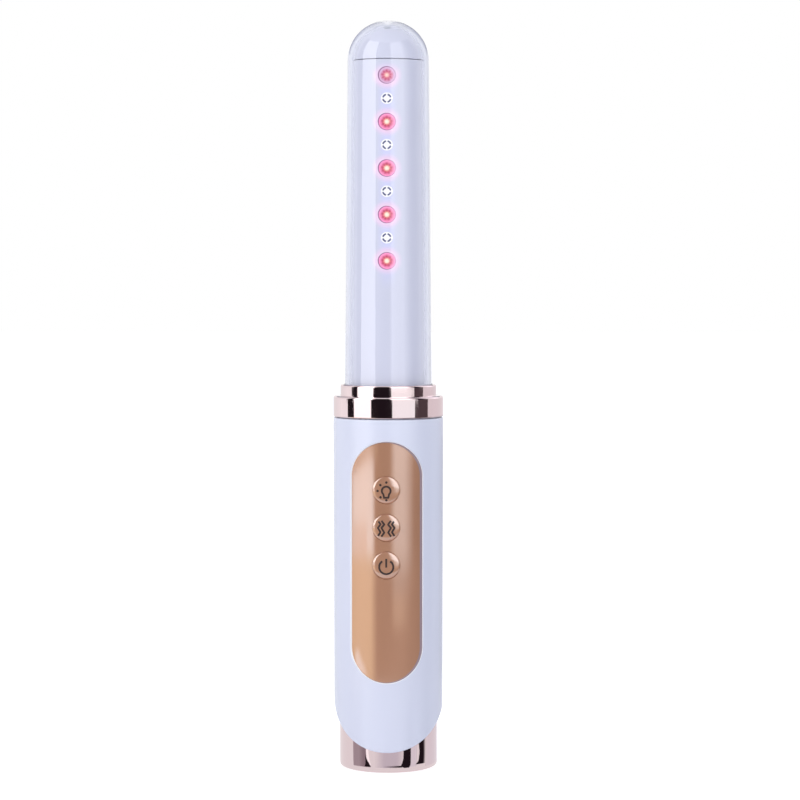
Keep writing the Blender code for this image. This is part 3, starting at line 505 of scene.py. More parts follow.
def add(tree, kind, inputs=None, **settings):
    """A new shader node with its settings and inputs."""
    node = tree.nodes.new("ShaderNode" + kind)
    for name, value in settings.items():
        setattr(node, name, value)
    fill(tree, node, inputs or {})
    return node


def material_base(name, colour, roughness, metallic=0.0):
    """A Principled material, and its node tree and shader."""
    material = bpy.data.materials.new(name)
    material.use_nodes = True
    material.diffuse_color = (*colour, 1.0)
    tree = material.node_tree
    shader = tree.nodes["Principled BSDF"]
    fill(tree, shader, {"Base Color": colour, "Roughness": roughness, "Metallic": metallic})
    return material, tree, shader


def axes(tree):
    """The three object coordinates."""
    return add(tree, "SeparateXYZ", {"Vector": add(tree, "TexCoord").outputs["Object"]}).outputs


def noise(tree, size, detail=3.0, stretch=(1.0, 1.0, 1.0)):
    """A noise whose grain is about the given size in metres."""
    point = add(tree, "Mapping", {"Vector": add(tree, "TexCoord").outputs["Object"], "Scale": stretch})
    return add(tree, "TexNoise", {"Vector": point, "Scale": 1.0 / size, "Detail": detail})


def spread(tree, value, low_end, high_end):
    """Map a 0 to 1 value onto a range."""
    return add(tree, "MapRange", {"Value": value, "To Min": low_end, "To Max": high_end})


def fade(tree, value, start, end):
    """0 at start, 1 at end, smooth between."""
    return add(tree, "MapRange", {"Value": value, "From Min": start, "From Max": end},
               interpolation_type="SMOOTHSTEP")


def combine(tree, operation, first, second=0.0):
    """Join two values by a mathematical operation; one that takes a single value leaves out the second."""
    return add(tree, "Math", {0: first, 1: second}, operation=operation)


def product(tree, first, *others):
    """Several values multiplied."""
    for other in others:
        first = combine(tree, "MULTIPLY", first, other)
    return first


def distance(tree, across, along):
    """Length of an offset given by its two parts."""
    squares = combine(tree, "ADD", product(tree, across, across), product(tree, along, along))
    return combine(tree, "SQRT", squares)


def mix_colours(tree, first, second, factor):
    """Mix two colours, each a socket or a plain colour."""
    return add(tree, "Mix", {"A": first, "B": second, "Factor": factor}, data_type="RGBA").outputs["Result"]


def mix_shaders(tree, first, second, factor):
    """Mix two shaders by a value."""
    return add(tree, "MixShader", {"Fac": factor, 1: first, 2: second})


def finish(name, colour, roughness, metallic=0.0, grain=0.0004, bump=5e-7, tone=0.05,
           stretch=(1.0, 1.0, 1.0)):
    """A surface with slight differences in tone and gloss and a fine texture."""
    material, tree, shader = material_base(name, colour, roughness, metallic)
    fine = noise(tree, grain, FINE_DETAIL, stretch)
    broad = noise(tree, grain * BROAD_GRAIN, BROAD_DETAIL)
    darker = tuple(channel * (1 - tone) for channel in colour)
    fill(tree, shader, {"Base Color": mix_colours(tree, colour, darker, broad),
                        "Roughness": spread(tree, fine, *(roughness * share for share in GLOSS_RANGE)),
                        "Normal": add(tree, "Bump", {"Height": fine, "Distance": bump})})
    return material


def clear_plastic():
    """Clear polished plastic, milky where it is seen edge on, that lets shadow rays straight through."""
    material, tree, clear = material_base("clear_plastic", CLEAR_COLOUR, CLEAR_WEAR[1])
    wear = spread(tree, noise(tree, CLEAR_WEAR_SIZE, CLEAR_WEAR_DETAIL), *CLEAR_WEAR)
    fill(tree, clear, {"Transmission Weight": 1.0, "IOR": CLEAR_IOR, "Roughness": wear})
    milky = add(tree, "BsdfPrincipled", {"Base Color": MILKY_COLOUR, "IOR": CLEAR_IOR, "Roughness": wear})
    facing = add(tree, "LayerWeight").outputs["Facing"]
    rise = (DOME_BASE + PROBE_TIP_RADIUS * share for share in MILKY_RISE)
    rim = product(tree, fade(tree, facing, *MILKY_EDGE), fade(tree, axes(tree)["Z"], *rise))
    body = mix_shaders(tree, clear, milky, spread(tree, rim, 0.0, MILKY_SHARE))
    path = add(tree, "LightPath").outputs
    unseen = combine(tree, "MAXIMUM", path["Is Shadow Ray"], path["Is Diffuse Ray"])
    mixed = mix_shaders(tree, body, add(tree, "BsdfTransparent"), unseen)
    fill(tree, tree.nodes["Material Output"], {"Surface": mixed})
    return material


def glow_lens(name, stops, reach, rays=0.0):
    """A lit lens with dark rays, its colour set outwards from its axis by (share, red, green, blue) stops."""
    material, tree, shader = material_base(name, LENS_COLOUR, LENS_ROUGHNESS)
    place = axes(tree)
    across, up = (combine(tree, "DIVIDE", place[axis], reach) for axis in "XY")
    away = distance(tree, across, up)
    grain = spread(tree, noise(tree, LENS_GRAIN), -LENS_WANDER, LENS_WANDER)
    ramp = add(tree, "ValToRGB", {"Fac": combine(tree, "ADD", away, grain)})
    ramp.color_ramp.interpolation = "EASE"
    elements = ramp.color_ramp.elements
    for share, *_ in stops[1:-1]:
        elements.new(share)
    for element, (share, *colour) in zip(elements, stops):
        element.position = share
        element.color = (*colour, 1.0)
    turn = combine(tree, "ADD", combine(tree, "ARCTAN2", up, across), product(tree, grain, RAY_WANDER))
    wave = fade(tree, combine(tree, "SINE", product(tree, turn, RAY_COUNT)), *RAY_EDGE)
    band = product(tree, fade(tree, away, *RAY_START), fade(tree, away, *RAY_END))
    dark = product(tree, wave, band, rays)
    fill(tree, shader, {"Emission Color": mix_colours(tree, ramp, RAY_RED, dark),
                        "Emission Strength": 1.0,
                        "Roughness": spread(tree, noise(tree, LENS_GLOSS_SIZE), *LENS_GLOSS)})
    return material


def core_plastic_painted_glow(colour):
    """White plastic with a painted glow: emission and a pink tint in its colour stand in for lamp light,
    lavender down the row of lamps, pink round the red ones.
    """
    material = finish("core_white", colour, 0.30, grain=0.0006, tone=0.015)
    tree = material.node_tree
    shader = tree.nodes["Principled BSDF"]
    place = axes(tree)
    first, last = middle("red_led_1").z, middle("red_led_%d" % RED_LAMPS).z
    pitch = first - middle("blue_led_1").z
    across = combine(tree, "ABSOLUTE", place["X"])
    along = combine(tree, "PINGPONG", combine(tree, "SUBTRACT", first, place["Z"]), pitch)
    column = product(tree, fade(tree, place["Z"], last - 2 * HALO_REACH, last),
                     fade(tree, place["Z"], first + HALO_REACH, first),
                     fade(tree, place["Y"], -GLOW_HALF_WIDTH, -2 * GLOW_HALF_WIDTH))
    blue = product(tree, column, fade(tree, across, GLOW_HALF_WIDTH, 0.0))
    # Painted light: blue and pink emission, and a pink halo painted into the base colour round each red lamp
    pink = product(tree, column, fade(tree, distance(tree, across, along), HALO_REACH, RED_WINDOW_RADIUS))
    glow = mix_colours(tree, mix_colours(tree, (0.0, 0.0, 0.0), GLOW_BLUE, blue), GLOW_PINK, pink)
    plain = shader.inputs["Base Color"].links[0].from_socket
    halo = mix_colours(tree, plain, PAINTED_HALO_PINK, spread(tree, pink, 0.0, PAINTED_HALO_SHARE))
    fill(tree, shader, {"Base Color": halo, "Emission Color": glow, "Emission Strength": GLOW_STRENGTH})
    return material


def satin_plating():
    """Rose-gold satin plating under a clear lacquer."""
    material = finish("satin_rose_gold", (0.560, 0.278, 0.162), 0.30, 0.12, grain=0.0003, tone=0.03)
    tree = material.node_tree
    fill(tree, tree.nodes["Principled BSDF"],
         {"Coat Weight": 1.0, "Coat Roughness": LACQUER_ROUGHNESS, "Coat IOR": LACQUER_IOR})
    return material


# Plain finishes: slot, colour, roughness, then what differs from the usual
STEEL_LIKE = {"metallic": 1.0, "stretch": (1.0, 1.0, 12.0)}
FINISHES = (
    ("white_plastic", (0.75, 0.78, 0.92), 0.24, {"grain": 0.0008, "tone": 0.012}),
    ("rose_plating", (0.76, 0.62, 0.64), 0.05,
     {"metallic": 1.0, "grain": 0.002, "bump": 2e-7, "tone": 0.02}),
    ("silicone", (0.30, 0.31, 0.33), 0.60, {}),
    ("frame_plastic", (0.12, 0.12, 0.13), 0.50, {"bump": 4e-6}),
    ("circuit_board", (0.06, 0.25, 0.12), 0.45, {"bump": 3e-6}),
    ("chip_black", (0.03, 0.03, 0.03), 0.40, {"bump": 4e-6}),
    ("steel", (0.62, 0.62, 0.64), 0.30, STEEL_LIKE),
    ("brass", (0.70, 0.55, 0.25), 0.30, STEEL_LIKE),
    ("contact_gold", (0.85, 0.62, 0.25), 0.20, {"metallic": 1.0}),
    ("cell_wrap", (0.10, 0.25, 0.55), 0.35, {"bump": 2e-6}),
    ("ribbon_amber", (0.55, 0.30, 0.08), 0.40, {}),
    ("red_wire", (0.65, 0.05, 0.05), 0.45, {}),
    ("black_wire", (0.03, 0.03, 0.03), 0.45, {}),
)
MATERIALS = {slot: finish(slot, colour, roughness, **others) for slot, colour, roughness, others in FINISHES}
MATERIALS["clear_plastic"] = clear_plastic()
MATERIALS["core_white"] = core_plastic_painted_glow((0.668, 0.684, 0.825))
MATERIALS["satin_rose_gold"] = satin_plating()
SIGN_PAINT = finish("sign_paint", (0.030, 0.013, 0.011), 0.60)
LAMP_FRAME = finish("lamp_frame", (0.006, 0.020, 0.180), 0.60)
# Dark plum for the red lamps' rims: a painted shade line for the shadow in the window's gap
RIM_PAINTED_SHADE = finish("rim_painted_shade", (0.26, 0.08, 0.24), 0.50)
# A whiter white than the handle's: a painted highlight on the recess's sloping edge
RECESS_HIGHLIGHT_WHITE = finish("recess_painted_highlight", (0.93, 0.94, 1.00), 0.20)
# Grey-mauve for the strip round the panel: painted shade for the gap's shadow
GAP_SHADE_GREY = finish("gap_shade_grey", (0.34, 0.25, 0.28), 0.55)
GATE_GREY = finish("gate_grey", (0.40, 0.43, 0.52), 0.35)
RED_GLOW = glow_lens("red_glow", (
    (0.00, 1.00, 0.95, 0.84), (0.18, 1.00, 0.80, 0.62), (0.33, 0.93, 0.24, 0.22), (0.48, 0.70, 0.05, 0.16),
    (0.60, 0.86, 0.19, 0.38), (0.76, 0.92, 0.27, 0.50), (0.94, 0.68, 0.26, 0.50)), RED_LENS_REACH, RAY_SHARE)
TOP_RED_GLOW = glow_lens("top_red_glow", (
    (0.00, 1.00, 0.82, 0.72), (0.16, 0.96, 0.50, 0.46), (0.30, 0.82, 0.20, 0.28), (0.45, 0.70, 0.13, 0.28),
    (0.58, 0.74, 0.28, 0.48), (0.76, 0.64, 0.40, 0.60), (0.94, 0.54, 0.40, 0.58)), RED_LENS_REACH, RAY_SHARE)
BLUE_GLOW = glow_lens("blue_glow", (
    (0.00, 1.00, 1.00, 1.00), (0.80, 0.98, 0.98, 1.00), (1.00, 0.92, 0.93, 1.00)), BLUE_LENS_REACH)


def stand_in(piece, slot, *nodes, body="wand"):
    """Fix a detailed piece to its body in place of CAD nodes, with its slot's material where it has one."""
    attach(piece, body)
    if nodes:
        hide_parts(*nodes)
    if slot in MATERIALS:
        piece.data.materials.append(MATERIALS[slot])


# Probe

COLLAR_TOP = high("collar").z
COLLAR_FOOT = low("collar").z
COLLAR_STEP = COLLAR_FOOT + LOWER_RING_HEIGHT
LOWER_RING_RADIUS = high("collar").x
UPPER_RING_RADIUS = LOWER_RING_RADIUS - LOWER_RING_STEP
FLANGE_RADIUS = high("probe_sleeve").x


def sleeve_radius(height):
    """Outer radius of the sleeve below its dome."""
    share = (DOME_BASE - height) / (DOME_BASE - COLLAR_TOP)
    return PROBE_TIP_RADIUS + (PROBE_ROOT_RADIUS - PROBE_TIP_RADIUS) * share


def core_radius(height):
    """Outer radius of the core below its tip."""
    return sleeve_radius(height) - SLEEVE_WALL - FIT


def dome(radius, steps=DOME_STEPS, end=0):
    """Profile of a dome over the probe's barrel, from its top on the axis down to an angle."""
    return [(0, DOME_BASE + radius)] + arc(radius, math.pi / 2, end, steps, 0, DOME_BASE)[1:]


def make_sleeve():
    """Clear sleeve: a dome, a slightly flared barrel and a hidden foot flange."""
    foot = low("probe_sleeve").z
    flange_top = foot + FLANGE_THICKNESS
    rows = [DOME_BASE + (flange_top - DOME_BASE) * row / BARREL_ROWS for row in range(1, BARREL_ROWS + 1)]
    profile = dome(PROBE_TIP_RADIUS)
    profile += [(sleeve_radius(height), height) for height in rows]
    profile += [(FLANGE_RADIUS, flange_top), (FLANGE_RADIUS, foot), (sleeve_radius(foot) - SLEEVE_WALL, foot)]
    profile += [(sleeve_radius(height) - SLEEVE_WALL, height) for height in rows[::-1]]
    profile += dome(PROBE_TIP_RADIUS - SLEEVE_WALL)[::-1]
    sleeve = lathe("sleeve", profile, TURN_STEPS * 2)
    stand_in(sleeve, "clear_plastic", "probe_sleeve")


def make_core():
    """White core tube with its lamp windows, and the cap that closes it."""
    top = high("probe_core").z
    foot = low("probe_core").z
    flange_foot = low("probe_sleeve").z - FIT - FLANGE_THICKNESS
    flange_top = flange_foot + FLANGE_THICKNESS
    profile = [(core_radius(top), top), (core_radius(flange_top), flange_top),
               (FLANGE_RADIUS, flange_top), (FLANGE_RADIUS, flange_foot),
               (core_radius(flange_foot), flange_foot), (core_radius(foot), foot),
               (core_radius(foot) - CORE_WALL, foot), (core_radius(top) - CORE_WALL, top)]
    core = lathe("core_tube", profile)
    windows = (("red", RED_LAMPS, RED_WINDOW_RADIUS), ("blue", BLUE_LAMPS, BLUE_WINDOW_RADIUS))
    for kind, count, radius in windows:
        for number in range(1, count + 1):
            height = middle("%s_led_%d" % (kind, number)).z
            cut(core, hole(radius, PROBE_ROOT_RADIUS, height))
    stand_in(core, "core_white", "probe_core")

    cap_foot = top + FIT
    radius = PROBE_TIP_RADIUS - SLEEVE_WALL - FIT
    plug = core_radius(top) - CORE_WALL - FIT
    start = math.asin((cap_foot - DOME_BASE) / radius)
    bore = plug - TIP_WALL
    profile = dome(radius, end=start)
    profile += [(plug, cap_foot), (plug, cap_foot - TIP_PLUG_LENGTH), (bore, cap_foot - TIP_PLUG_LENGTH)]
    profile += dome(bore, FILLET_STEPS)[::-1]
    stand_in(lathe("core_cap", profile), "core_white", "core_tip")

    gate = drum("gate_mark", GATE_RADIUS, -CUP_THICKNESS, SURROUND_SINK, GATE_GREY)
    gate.location = (0, -radius * math.cos(GATE_ANGLE), DOME_BASE + radius * math.sin(GATE_ANGLE))
    gate.rotation_euler.x = math.pi / 2 - GATE_ANGLE
    stand_in(gate, None)


def make_lamp(node, slot, radius, material):
    """One domed lamp on its flange."""
    box_low, box_high = low(node), high(node)
    seat = -box_high.y
    length = -box_low.y - seat
    flange = (box_high.x - box_low.x) / 2
    shoulder = length - radius
    profile = [(0, 0), (flange, 0), (flange, LAMP_FLANGE_THICKNESS), (radius, LAMP_FLANGE_THICKNESS)]
    profile += arc(radius, 0, math.pi / 2, FILLET_STEPS * 2, 0, shoulder)[:-1] + [(0, length)]
    lamp = lathe(node.replace("led", "lamp"), profile, LAMP_STEPS, material)
    face_front(lamp, seat, middle(node).z)
    stand_in(lamp, slot, node)


# Strokes, used for the button signs and the blue lamps' frames

def stroke(data, path, width, top, bottom, closed=False):
    """Sweep a flat bar along a path of (x, y) points; top and bottom give the height at a point.

    The width is a number, or a list with one for each point.
    """
    count = len(path)
    widths = width if isinstance(width, list) else [width] * count
    rings = []
    for index, (x, y) in enumerate(path):
        before = path[index - 1] if closed or index > 0 else path[index]
        after = path[(index + 1) % count] if closed or index < count - 1 else path[index]
        along = Vector((after[0] - before[0], after[1] - before[1])).normalized()
        side = Vector((-along.y, along.x)) * widths[index] / 2
        left, right = (x + side.x, y + side.y), (x - side.x, y - side.y)
        rings.append([data.verts.new((*end, level(*end))) for end, level in
                      ((left, top), (right, top), (right, bottom), (left, bottom))])
    for index in range(count if closed else count - 1):
        bridge(data, rings[index], rings[(index + 1) % count])
    if not closed:
        data.faces.new(rings[0])
        data.faces.new(rings[-1][::-1])


def dot(data, x, y, radius, top, bottom):
    """A round spot."""
    ring = arc(radius, 0, math.tau, DOT_STEPS, x, y)[:-1]
    upper = [data.verts.new((a, b, top(a, b))) for a, b in ring]
    lower = [data.verts.new((a, b, bottom(a, b))) for a, b in ring]
    data.faces.new(upper)
    data.faces.new(lower[::-1])
    for index in range(len(ring)):
        nearby = (index + 1) % len(ring)
        data.faces.new((upper[index], lower[index], lower[nearby], upper[nearby]))


def circle(radius):
    """Points round a circle, from the right."""
    return arc(radius, 0, math.tau, LAMP_STEPS * 2)[:-1]


def core_face(height, lift):
    """How far a lifted core's front lies from the axis plane, as a function of the place on it."""
    reach = core_radius(height)
    return lambda x, y: math.sqrt(reach ** 2 - x * x) + lift


def surround(name, height, path, width, top_lift, bottom_lift, material, closed=True):
    """A flat ring or bar that follows the core's curved front."""
    data = bmesh.new()
    stroke(data, path, width, core_face(height, top_lift), core_face(height, bottom_lift), closed)
    piece = link(name, data, material)
    face_front(piece, 0, height)
    stand_in(piece, None)


def make_red_surround(number, glow):
    """Cup round a red lamp, given the lamp's own emission as a painted glow of lamp light reflected in it,
    with a dark rim wider on its left as a painted shade line.
    """
    node = "red_led_%d" % number
    height = middle(node).z
    depth = core_face(height, -SURROUND_SINK)
    lens_centre = -low(node).y - RED_LENS_RADIUS
    inner_depth = lens_centre + math.sqrt(RED_LENS_RADIUS ** 2 - CUP_INNER_RADIUS ** 2)
    columns = []
    for x, y in circle(1.0):
        inner = (x * CUP_INNER_RADIUS, y * CUP_INNER_RADIUS)
        outer = (x * CUP_OUTER_RADIUS, y * CUP_OUTER_RADIUS)
        outer_depth = depth(*outer)
        columns.append([(*inner, inner_depth), (*outer, outer_depth), (*outer, outer_depth - CUP_THICKNESS),
                        (*inner, inner_depth - CUP_THICKNESS)])
    cup = skin("red_cup_%d" % number, columns, glow)
    face_front(cup, 0, height)
    stand_in(cup, None)
    # The rim is painted shade, set wider on the left where the gap's shadow falls
    path = circle(RIM_RADIUS)
    widths = [RIM_WIDTH * (RIM_THIN_SHARE + (1 - RIM_THIN_SHARE) * (1 - x / RIM_RADIUS) / 2) for x, _ in path]
    surround("red_rim_%d" % number, height, path, widths, 0.0, -CUP_THICKNESS, RIM_PAINTED_SHADE)


def make_blue_surround(number):
    """Disc round a blue lamp, given the lamp's own emission as a painted glow, with four dark bars."""
    height = middle("blue_led_%d" % number).z
    path = circle((DISC_INNER_RADIUS + DISC_OUTER_RADIUS) / 2)
    surround("blue_disc_%d" % number, height, path, DISC_OUTER_RADIUS - DISC_INNER_RADIUS, SURROUND_LIFT,
             -SURROUND_SINK, BLUE_GLOW)
    for quarter in range(4):
        centre = math.pi / 4 + math.pi / 2 * quarter
        path = arc(ARC_RADIUS, centre - ARC_HALF_ANGLE, centre + ARC_HALF_ANGLE, FILLET_STEPS * 2)
        surround("blue_bar_%d_%d" % (number, quarter + 1), height, path, ARC_WIDTH, 2 * SURROUND_LIFT,
                 -SURROUND_SINK, LAMP_FRAME, closed=False)


def make_lamps():
    """Red and blue lamps and what surrounds them."""
    for number in range(1, RED_LAMPS + 1):
        glow = TOP_RED_GLOW if number == 1 else RED_GLOW
        make_lamp("red_led_%d" % number, "red_lens", RED_LENS_RADIUS, glow)
        make_red_surround(number, glow)
    for number in range(1, BLUE_LAMPS + 1):
        make_lamp("blue_led_%d" % number, "blue_lens", BLUE_LENS_RADIUS, BLUE_GLOW)
        make_blue_surround(number)


# Collar, handle, panel, buttons and base

def make_collar():
    """Two polished steps in one ring."""
    chamber_radius = LOWER_RING_RADIUS - COLLAR_WALL
    chamber_top = COLLAR_STEP - COLLAR_ROOF
    bore = sleeve_radius(chamber_top) + FIT
    corners = [(UPPER_RING_RADIUS, COLLAR_TOP, UPPER_RING_FILLET), (UPPER_RING_RADIUS, COLLAR_STEP, 0),
               (LOWER_RING_RADIUS, COLLAR_STEP, LOWER_RING_FILLET),
               (LOWER_RING_RADIUS, COLLAR_FOOT, LOWER_RING_FOOT_FILLET),
               (chamber_radius, COLLAR_FOOT, 0), (chamber_radius, chamber_top, 0),
               (bore, chamber_top, 0), (bore, COLLAR_TOP, 0)]
    stand_in(lathe("stepped_ring", rounded(corners)), "rose_plating", "collar")


HANDLE_FOOT_RADIUS = high("handle_shell").x - HANDLE_TAPER
BASE_RADIUS = high("base_cap").x
BASE_HEIGHT = high("base_cap").z
COUNTERBORE = BASE_RADIUS + FIT
PANEL_LOW = low("control_panel")
PANEL_HIGH = high("control_panel")
PANEL_HALF_WIDTH = PANEL_HIGH.x
PANEL_RADIUS = -PANEL_LOW.y


def handle_radius(height):
    """Outer radius of the tapered handle."""
    return HANDLE_FOOT_RADIUS + HANDLE_TAPER * height / HANDLE_HEIGHT


def tongue_height(x):
    """Height of the shell's hanging edge at a distance from the middle."""
    half_width = HANDLE_FOOT_RADIUS + TONGUE_SIDE_MARGIN
    foot = low("handle_shell").z
    share = min(abs(x - TONGUE_SHIFT) / half_width, 1)
    return foot + TONGUE_HEIGHT * (1 - (1 - share ** TONGUE_POWER) ** (1 / TONGUE_POWER))


def shell_column(turn):
    """The shell's section at one angle, its foot following the hanging edge."""
    sine = math.cos(turn)
    outer_foot = tongue_height(handle_radius(0) * sine)
    inner_foot = tongue_height(COUNTERBORE * sine)
    shoulder = BASE_HEIGHT + FIT
    inner_top = HANDLE_HEIGHT - SPIGOT_ROOT
    spigot = LOWER_RING_RADIUS - COLLAR_WALL - FIT
    spigot_top = high("handle_shell").z
    corners = [(handle_radius(outer_foot), outer_foot, TONGUE_LIP_FILLET),
               (handle_radius(shoulder), shoulder, 0),
               (handle_radius(HANDLE_HEIGHT), HANDLE_HEIGHT, SHOULDER_FILLET),
               (spigot, HANDLE_HEIGHT, 0), (spigot, spigot_top, 0),
               (spigot - SPIGOT_WALL, spigot_top, 0), (spigot - SPIGOT_WALL, inner_top, 0),
               (handle_radius(inner_top) - HANDLE_WALL, inner_top, 0),
               (handle_radius(shoulder) - HANDLE_WALL, shoulder, 0),
               (COUNTERBORE, shoulder, 0), (COUNTERBORE, inner_foot, 0)]
    return turned(rounded(corners), turn)


def make_shell():
    """White handle with its hanging tongues, panel recess and window."""
    turns = [math.tau * step / TURN_STEPS for step in range(TURN_STEPS)]
    shell = skin("grip", [shell_column(turn) for turn in turns])
    reach = LOWER_RING_RADIUS + OVERRUN
    inner = PANEL_RADIUS - PANEL_THICKNESS - FIT
    outline = stadium(PANEL_HALF_WIDTH + RIM_REACH, PANEL_LOW.z - RIM_REACH, PANEL_HIGH.z + RIM_REACH)
    cut(shell, curved_plate("recess", outline, inner, reach))
    window = stadium(PANEL_HALF_WIDTH - PANEL_LEDGE, PANEL_LOW.z + PANEL_LEDGE, PANEL_HIGH.z - PANEL_LEDGE)
    cut(shell, prism("window", window, reach))
    stand_in(shell, "white_plastic", "handle_shell")
    make_recess_rim()


def make_recess_rim():
    """Sloping white edge of the panel's recess, whiter than the handle as a painted highlight, and a grey
    strip between it and the panel as painted shade for the shadow in the gap, wider on the right.
    """
    half = PANEL_HALF_WIDTH
    panel = panel_outline()
    middle_line = stadium(half + GAP_SHADE_SHIFT, PANEL_LOW.z - GAP_SHADE_REACH, PANEL_HIGH.z + GAP_SHADE_REACH,
                          GAP_SHADE_SHIFT)
    lip = stadium(half + RIM_REACH, PANEL_LOW.z - RIM_REACH, PANEL_HIGH.z + RIM_REACH)
    # The rim's whiter white is a painted highlight on the recess's edge
    edge_strip("recess_rim", middle_line, lip, PANEL_RADIUS - RIM_DROP, None, RECESS_HIGHLIGHT_WHITE)
    # The grey strip is painted shade for the gap's shadow, wider on the right
    edge_strip("panel_gap_shade", panel, middle_line, PANEL_RADIUS - PANEL_EDGE_FILLET, PANEL_RADIUS - RIM_DROP,
               GAP_SHADE_GREY)


def edge_strip(name, inner, outer, inner_radius, outer_radius, material):
    """A strip between two outlines on the curved front; no outer radius means the handle's face."""
    columns = []
    for (inner_x, inner_z), (outer_x, outer_z) in zip(inner, outer):
        inner_depth = math.sqrt(inner_radius ** 2 - inner_x ** 2)
        outer_depth = math.sqrt((outer_radius or handle_radius(outer_z)) ** 2 - outer_x ** 2)
        floor_depth = inner_depth - PANEL_THICKNESS
        columns.append([(outer_x, -outer_depth, outer_z), (inner_x, -inner_depth, inner_z),
                        (inner_x, -floor_depth, inner_z), (outer_x, -floor_depth, outer_z)])
    stand_in(skin(name, columns, material), None)


def panel_outline():
    """The panel's outline, a little off its recess's middle."""
    return stadium(PANEL_HALF_WIDTH - PANEL_NARROWING, PANEL_LOW.z, PANEL_HIGH.z, PANEL_SHIFT)


def curved_plate(name, outline, inner, outer):
    """A plate of a given outline bent round the handle, between two radii."""
    below = min(z for _, z in outline) - OVERRUN
    above = max(z for _, z in outline) + OVERRUN
    rise = [below + (above - below) * row / PLATE_ROWS for row in range(PLATE_ROWS + 1)]
    profile = [(outer, height) for height in rise] + [(inner, height) for height in reversed(rise)]
    plate = lathe(name, profile)
    cut(plate, prism("outline", outline, outer + OVERRUN), "INTERSECT")
    return plate


def soften(thing, width):
    """Bevel sharp edges as far as their close points leave room, join doubled points and weigh the normals."""
    bevel = thing.modifiers.new("edge", "BEVEL")
    bevel.width = width
    bevel.segments = BEVEL_SEGMENTS
    bevel.limit_method = "ANGLE"
    bevel.angle_limit = SHARP_ANGLE
    weld = thing.modifiers.new("weld", "WELD")
    weld.merge_threshold = SOFT_WELD
    weigh = thing.modifiers.new("weigh", "WEIGHTED_NORMAL")
    weigh.weight = BEVEL_WEIGHT
    weigh.keep_sharp = True
    apply_modifiers(thing)


BUTTONS = ("light", "vibration", "power")


def make_panel():
    """Satin panel with three round holes; its points lie too close for a bevel, so its edge stays square."""
    inner = PANEL_RADIUS - PANEL_THICKNESS
    panel = curved_plate("panel", panel_outline(), inner, PANEL_RADIUS)
    for name in BUTTONS:
        height = middle(name + "_button").z
        cut(panel, hole(BUTTON_RADIUS + BUTTON_GAP, PANEL_RADIUS + OVERRUN, height))
    soften(panel, PANEL_EDGE_FILLET)
    stand_in(panel, "satin_rose_gold", "control_panel")


def crown(x, y):
    """Height of a button's domed face, measured from its CAD rim."""
    share = (x * x + y * y) / BUTTON_RADIUS ** 2
    return BUTTON_CROWN - BUTTON_DOME + BUTTON_DOME * math.sqrt(max(1 - share, 0))


def make_buttons():
    """Domed buttons with a narrow skirt, each with its sign."""
    for name, sign in zip(BUTTONS, (bulb_sign, vibration_sign, power_sign)):
        node = name + "_button"
        seat = -high(node).y
        front = -low(node).y - BUTTON_CROWN
        height = middle(node).z
        flange = high(node).x
        stem = front - seat
        flange_back = flange_depth(front, flange)
        skirt = BUTTON_RADIUS + SKIRT_REACH
        rim = crown(BUTTON_RADIUS, 0)
        face = [(x, crown(x, 0)) for x, _ in arc(BUTTON_RADIUS, 0, math.pi / 2, FILLET_STEPS * 4)[1:-1]]
        flange_face = flange_back - BUTTON_FLANGE_THICKNESS
        profile = [(0, -stem), (STEM_RADIUS, -stem), (STEM_RADIUS, flange_face), (flange, flange_face),
                   (flange, flange_back), (skirt, flange_back),
                   (skirt, rim - SKIRT_DROP * 2), (skirt - SKIRT_REACH / 3, rim - SKIRT_DROP),
                   (BUTTON_RADIUS, rim)] + face + [(0, BUTTON_CROWN)]
        cap = lathe(name + "_cap", profile, LAMP_STEPS * 2)
        face_front(cap, front, height)
        stand_in(cap, "satin_rose_gold", node, body=node + "_body")
        data = bmesh.new()
        sign(data)
        bmesh.ops.scale(data, verts=data.verts, vec=(MM, MM, 1))
        mark = link(name + "_sign", data, SIGN_PAINT)
        face_front(mark, front, height)
        stand_in(mark, None, body=node + "_body")


def flange_depth(front, flange):
    """Height of a button's flange, measured from its rim."""
    back_radius = PANEL_RADIUS - PANEL_THICKNESS
    return math.sqrt(back_radius ** 2 - flange ** 2) - FIT - front


def painted(lift):
    """Height of a sign's paint over its button's rim, as a function of a place in millimetres."""
    return lambda x, y: crown(x * MM, y * MM) + lift


def sign_stroke(data, path):
    """A painted line, with points close enough to follow the dome."""
    fine = [path[0]]
    for first, last in zip(path, path[1:]):
        steps = math.ceil(math.dist(first, last) / SIGN_STEP)
        fine += [tuple(a + (b - a) * step / steps for a, b in zip(first, last))
                 for step in range(1, steps + 1)]
    stroke(data, fine, SIGN_STROKE, painted(SIGN_RELIEF), painted(-SIGN_SINK))


def bulb_sign(data):
    """A lamp bulb with five dots round its left."""
    globe = arc(BULB_RADIUS, *BULB_SPAN, BULB_STEPS, 0, BULB_CENTRE)
    sign_stroke(data, [(BULB_NECK, BULB_FOOT)] + globe + [(-BULB_NECK, BULB_FOOT)])
    sign_stroke(data, [(-BULB_BASE, BULB_FOOT), (BULB_BASE, BULB_FOOT)])
    for x, y in BULB_DOTS:
        dot(data, x, y, SIGN_DOT, painted(SIGN_RELIEF), painted(-SIGN_SINK))


def vibration_sign(data):
    """Two zigzags on either side."""
    for mirror in (-1, 1):
        for path in ZIGZAGS:
            sign_stroke(data, [(mirror * x, y) for x, y in path])


def power_sign(data):
    """An open ring with a bar."""
    sign_stroke(data, arc(POWER_RADIUS, *POWER_SPAN, POWER_STEPS, 0, POWER_CENTRE))
    sign_stroke(data, POWER_BAR)


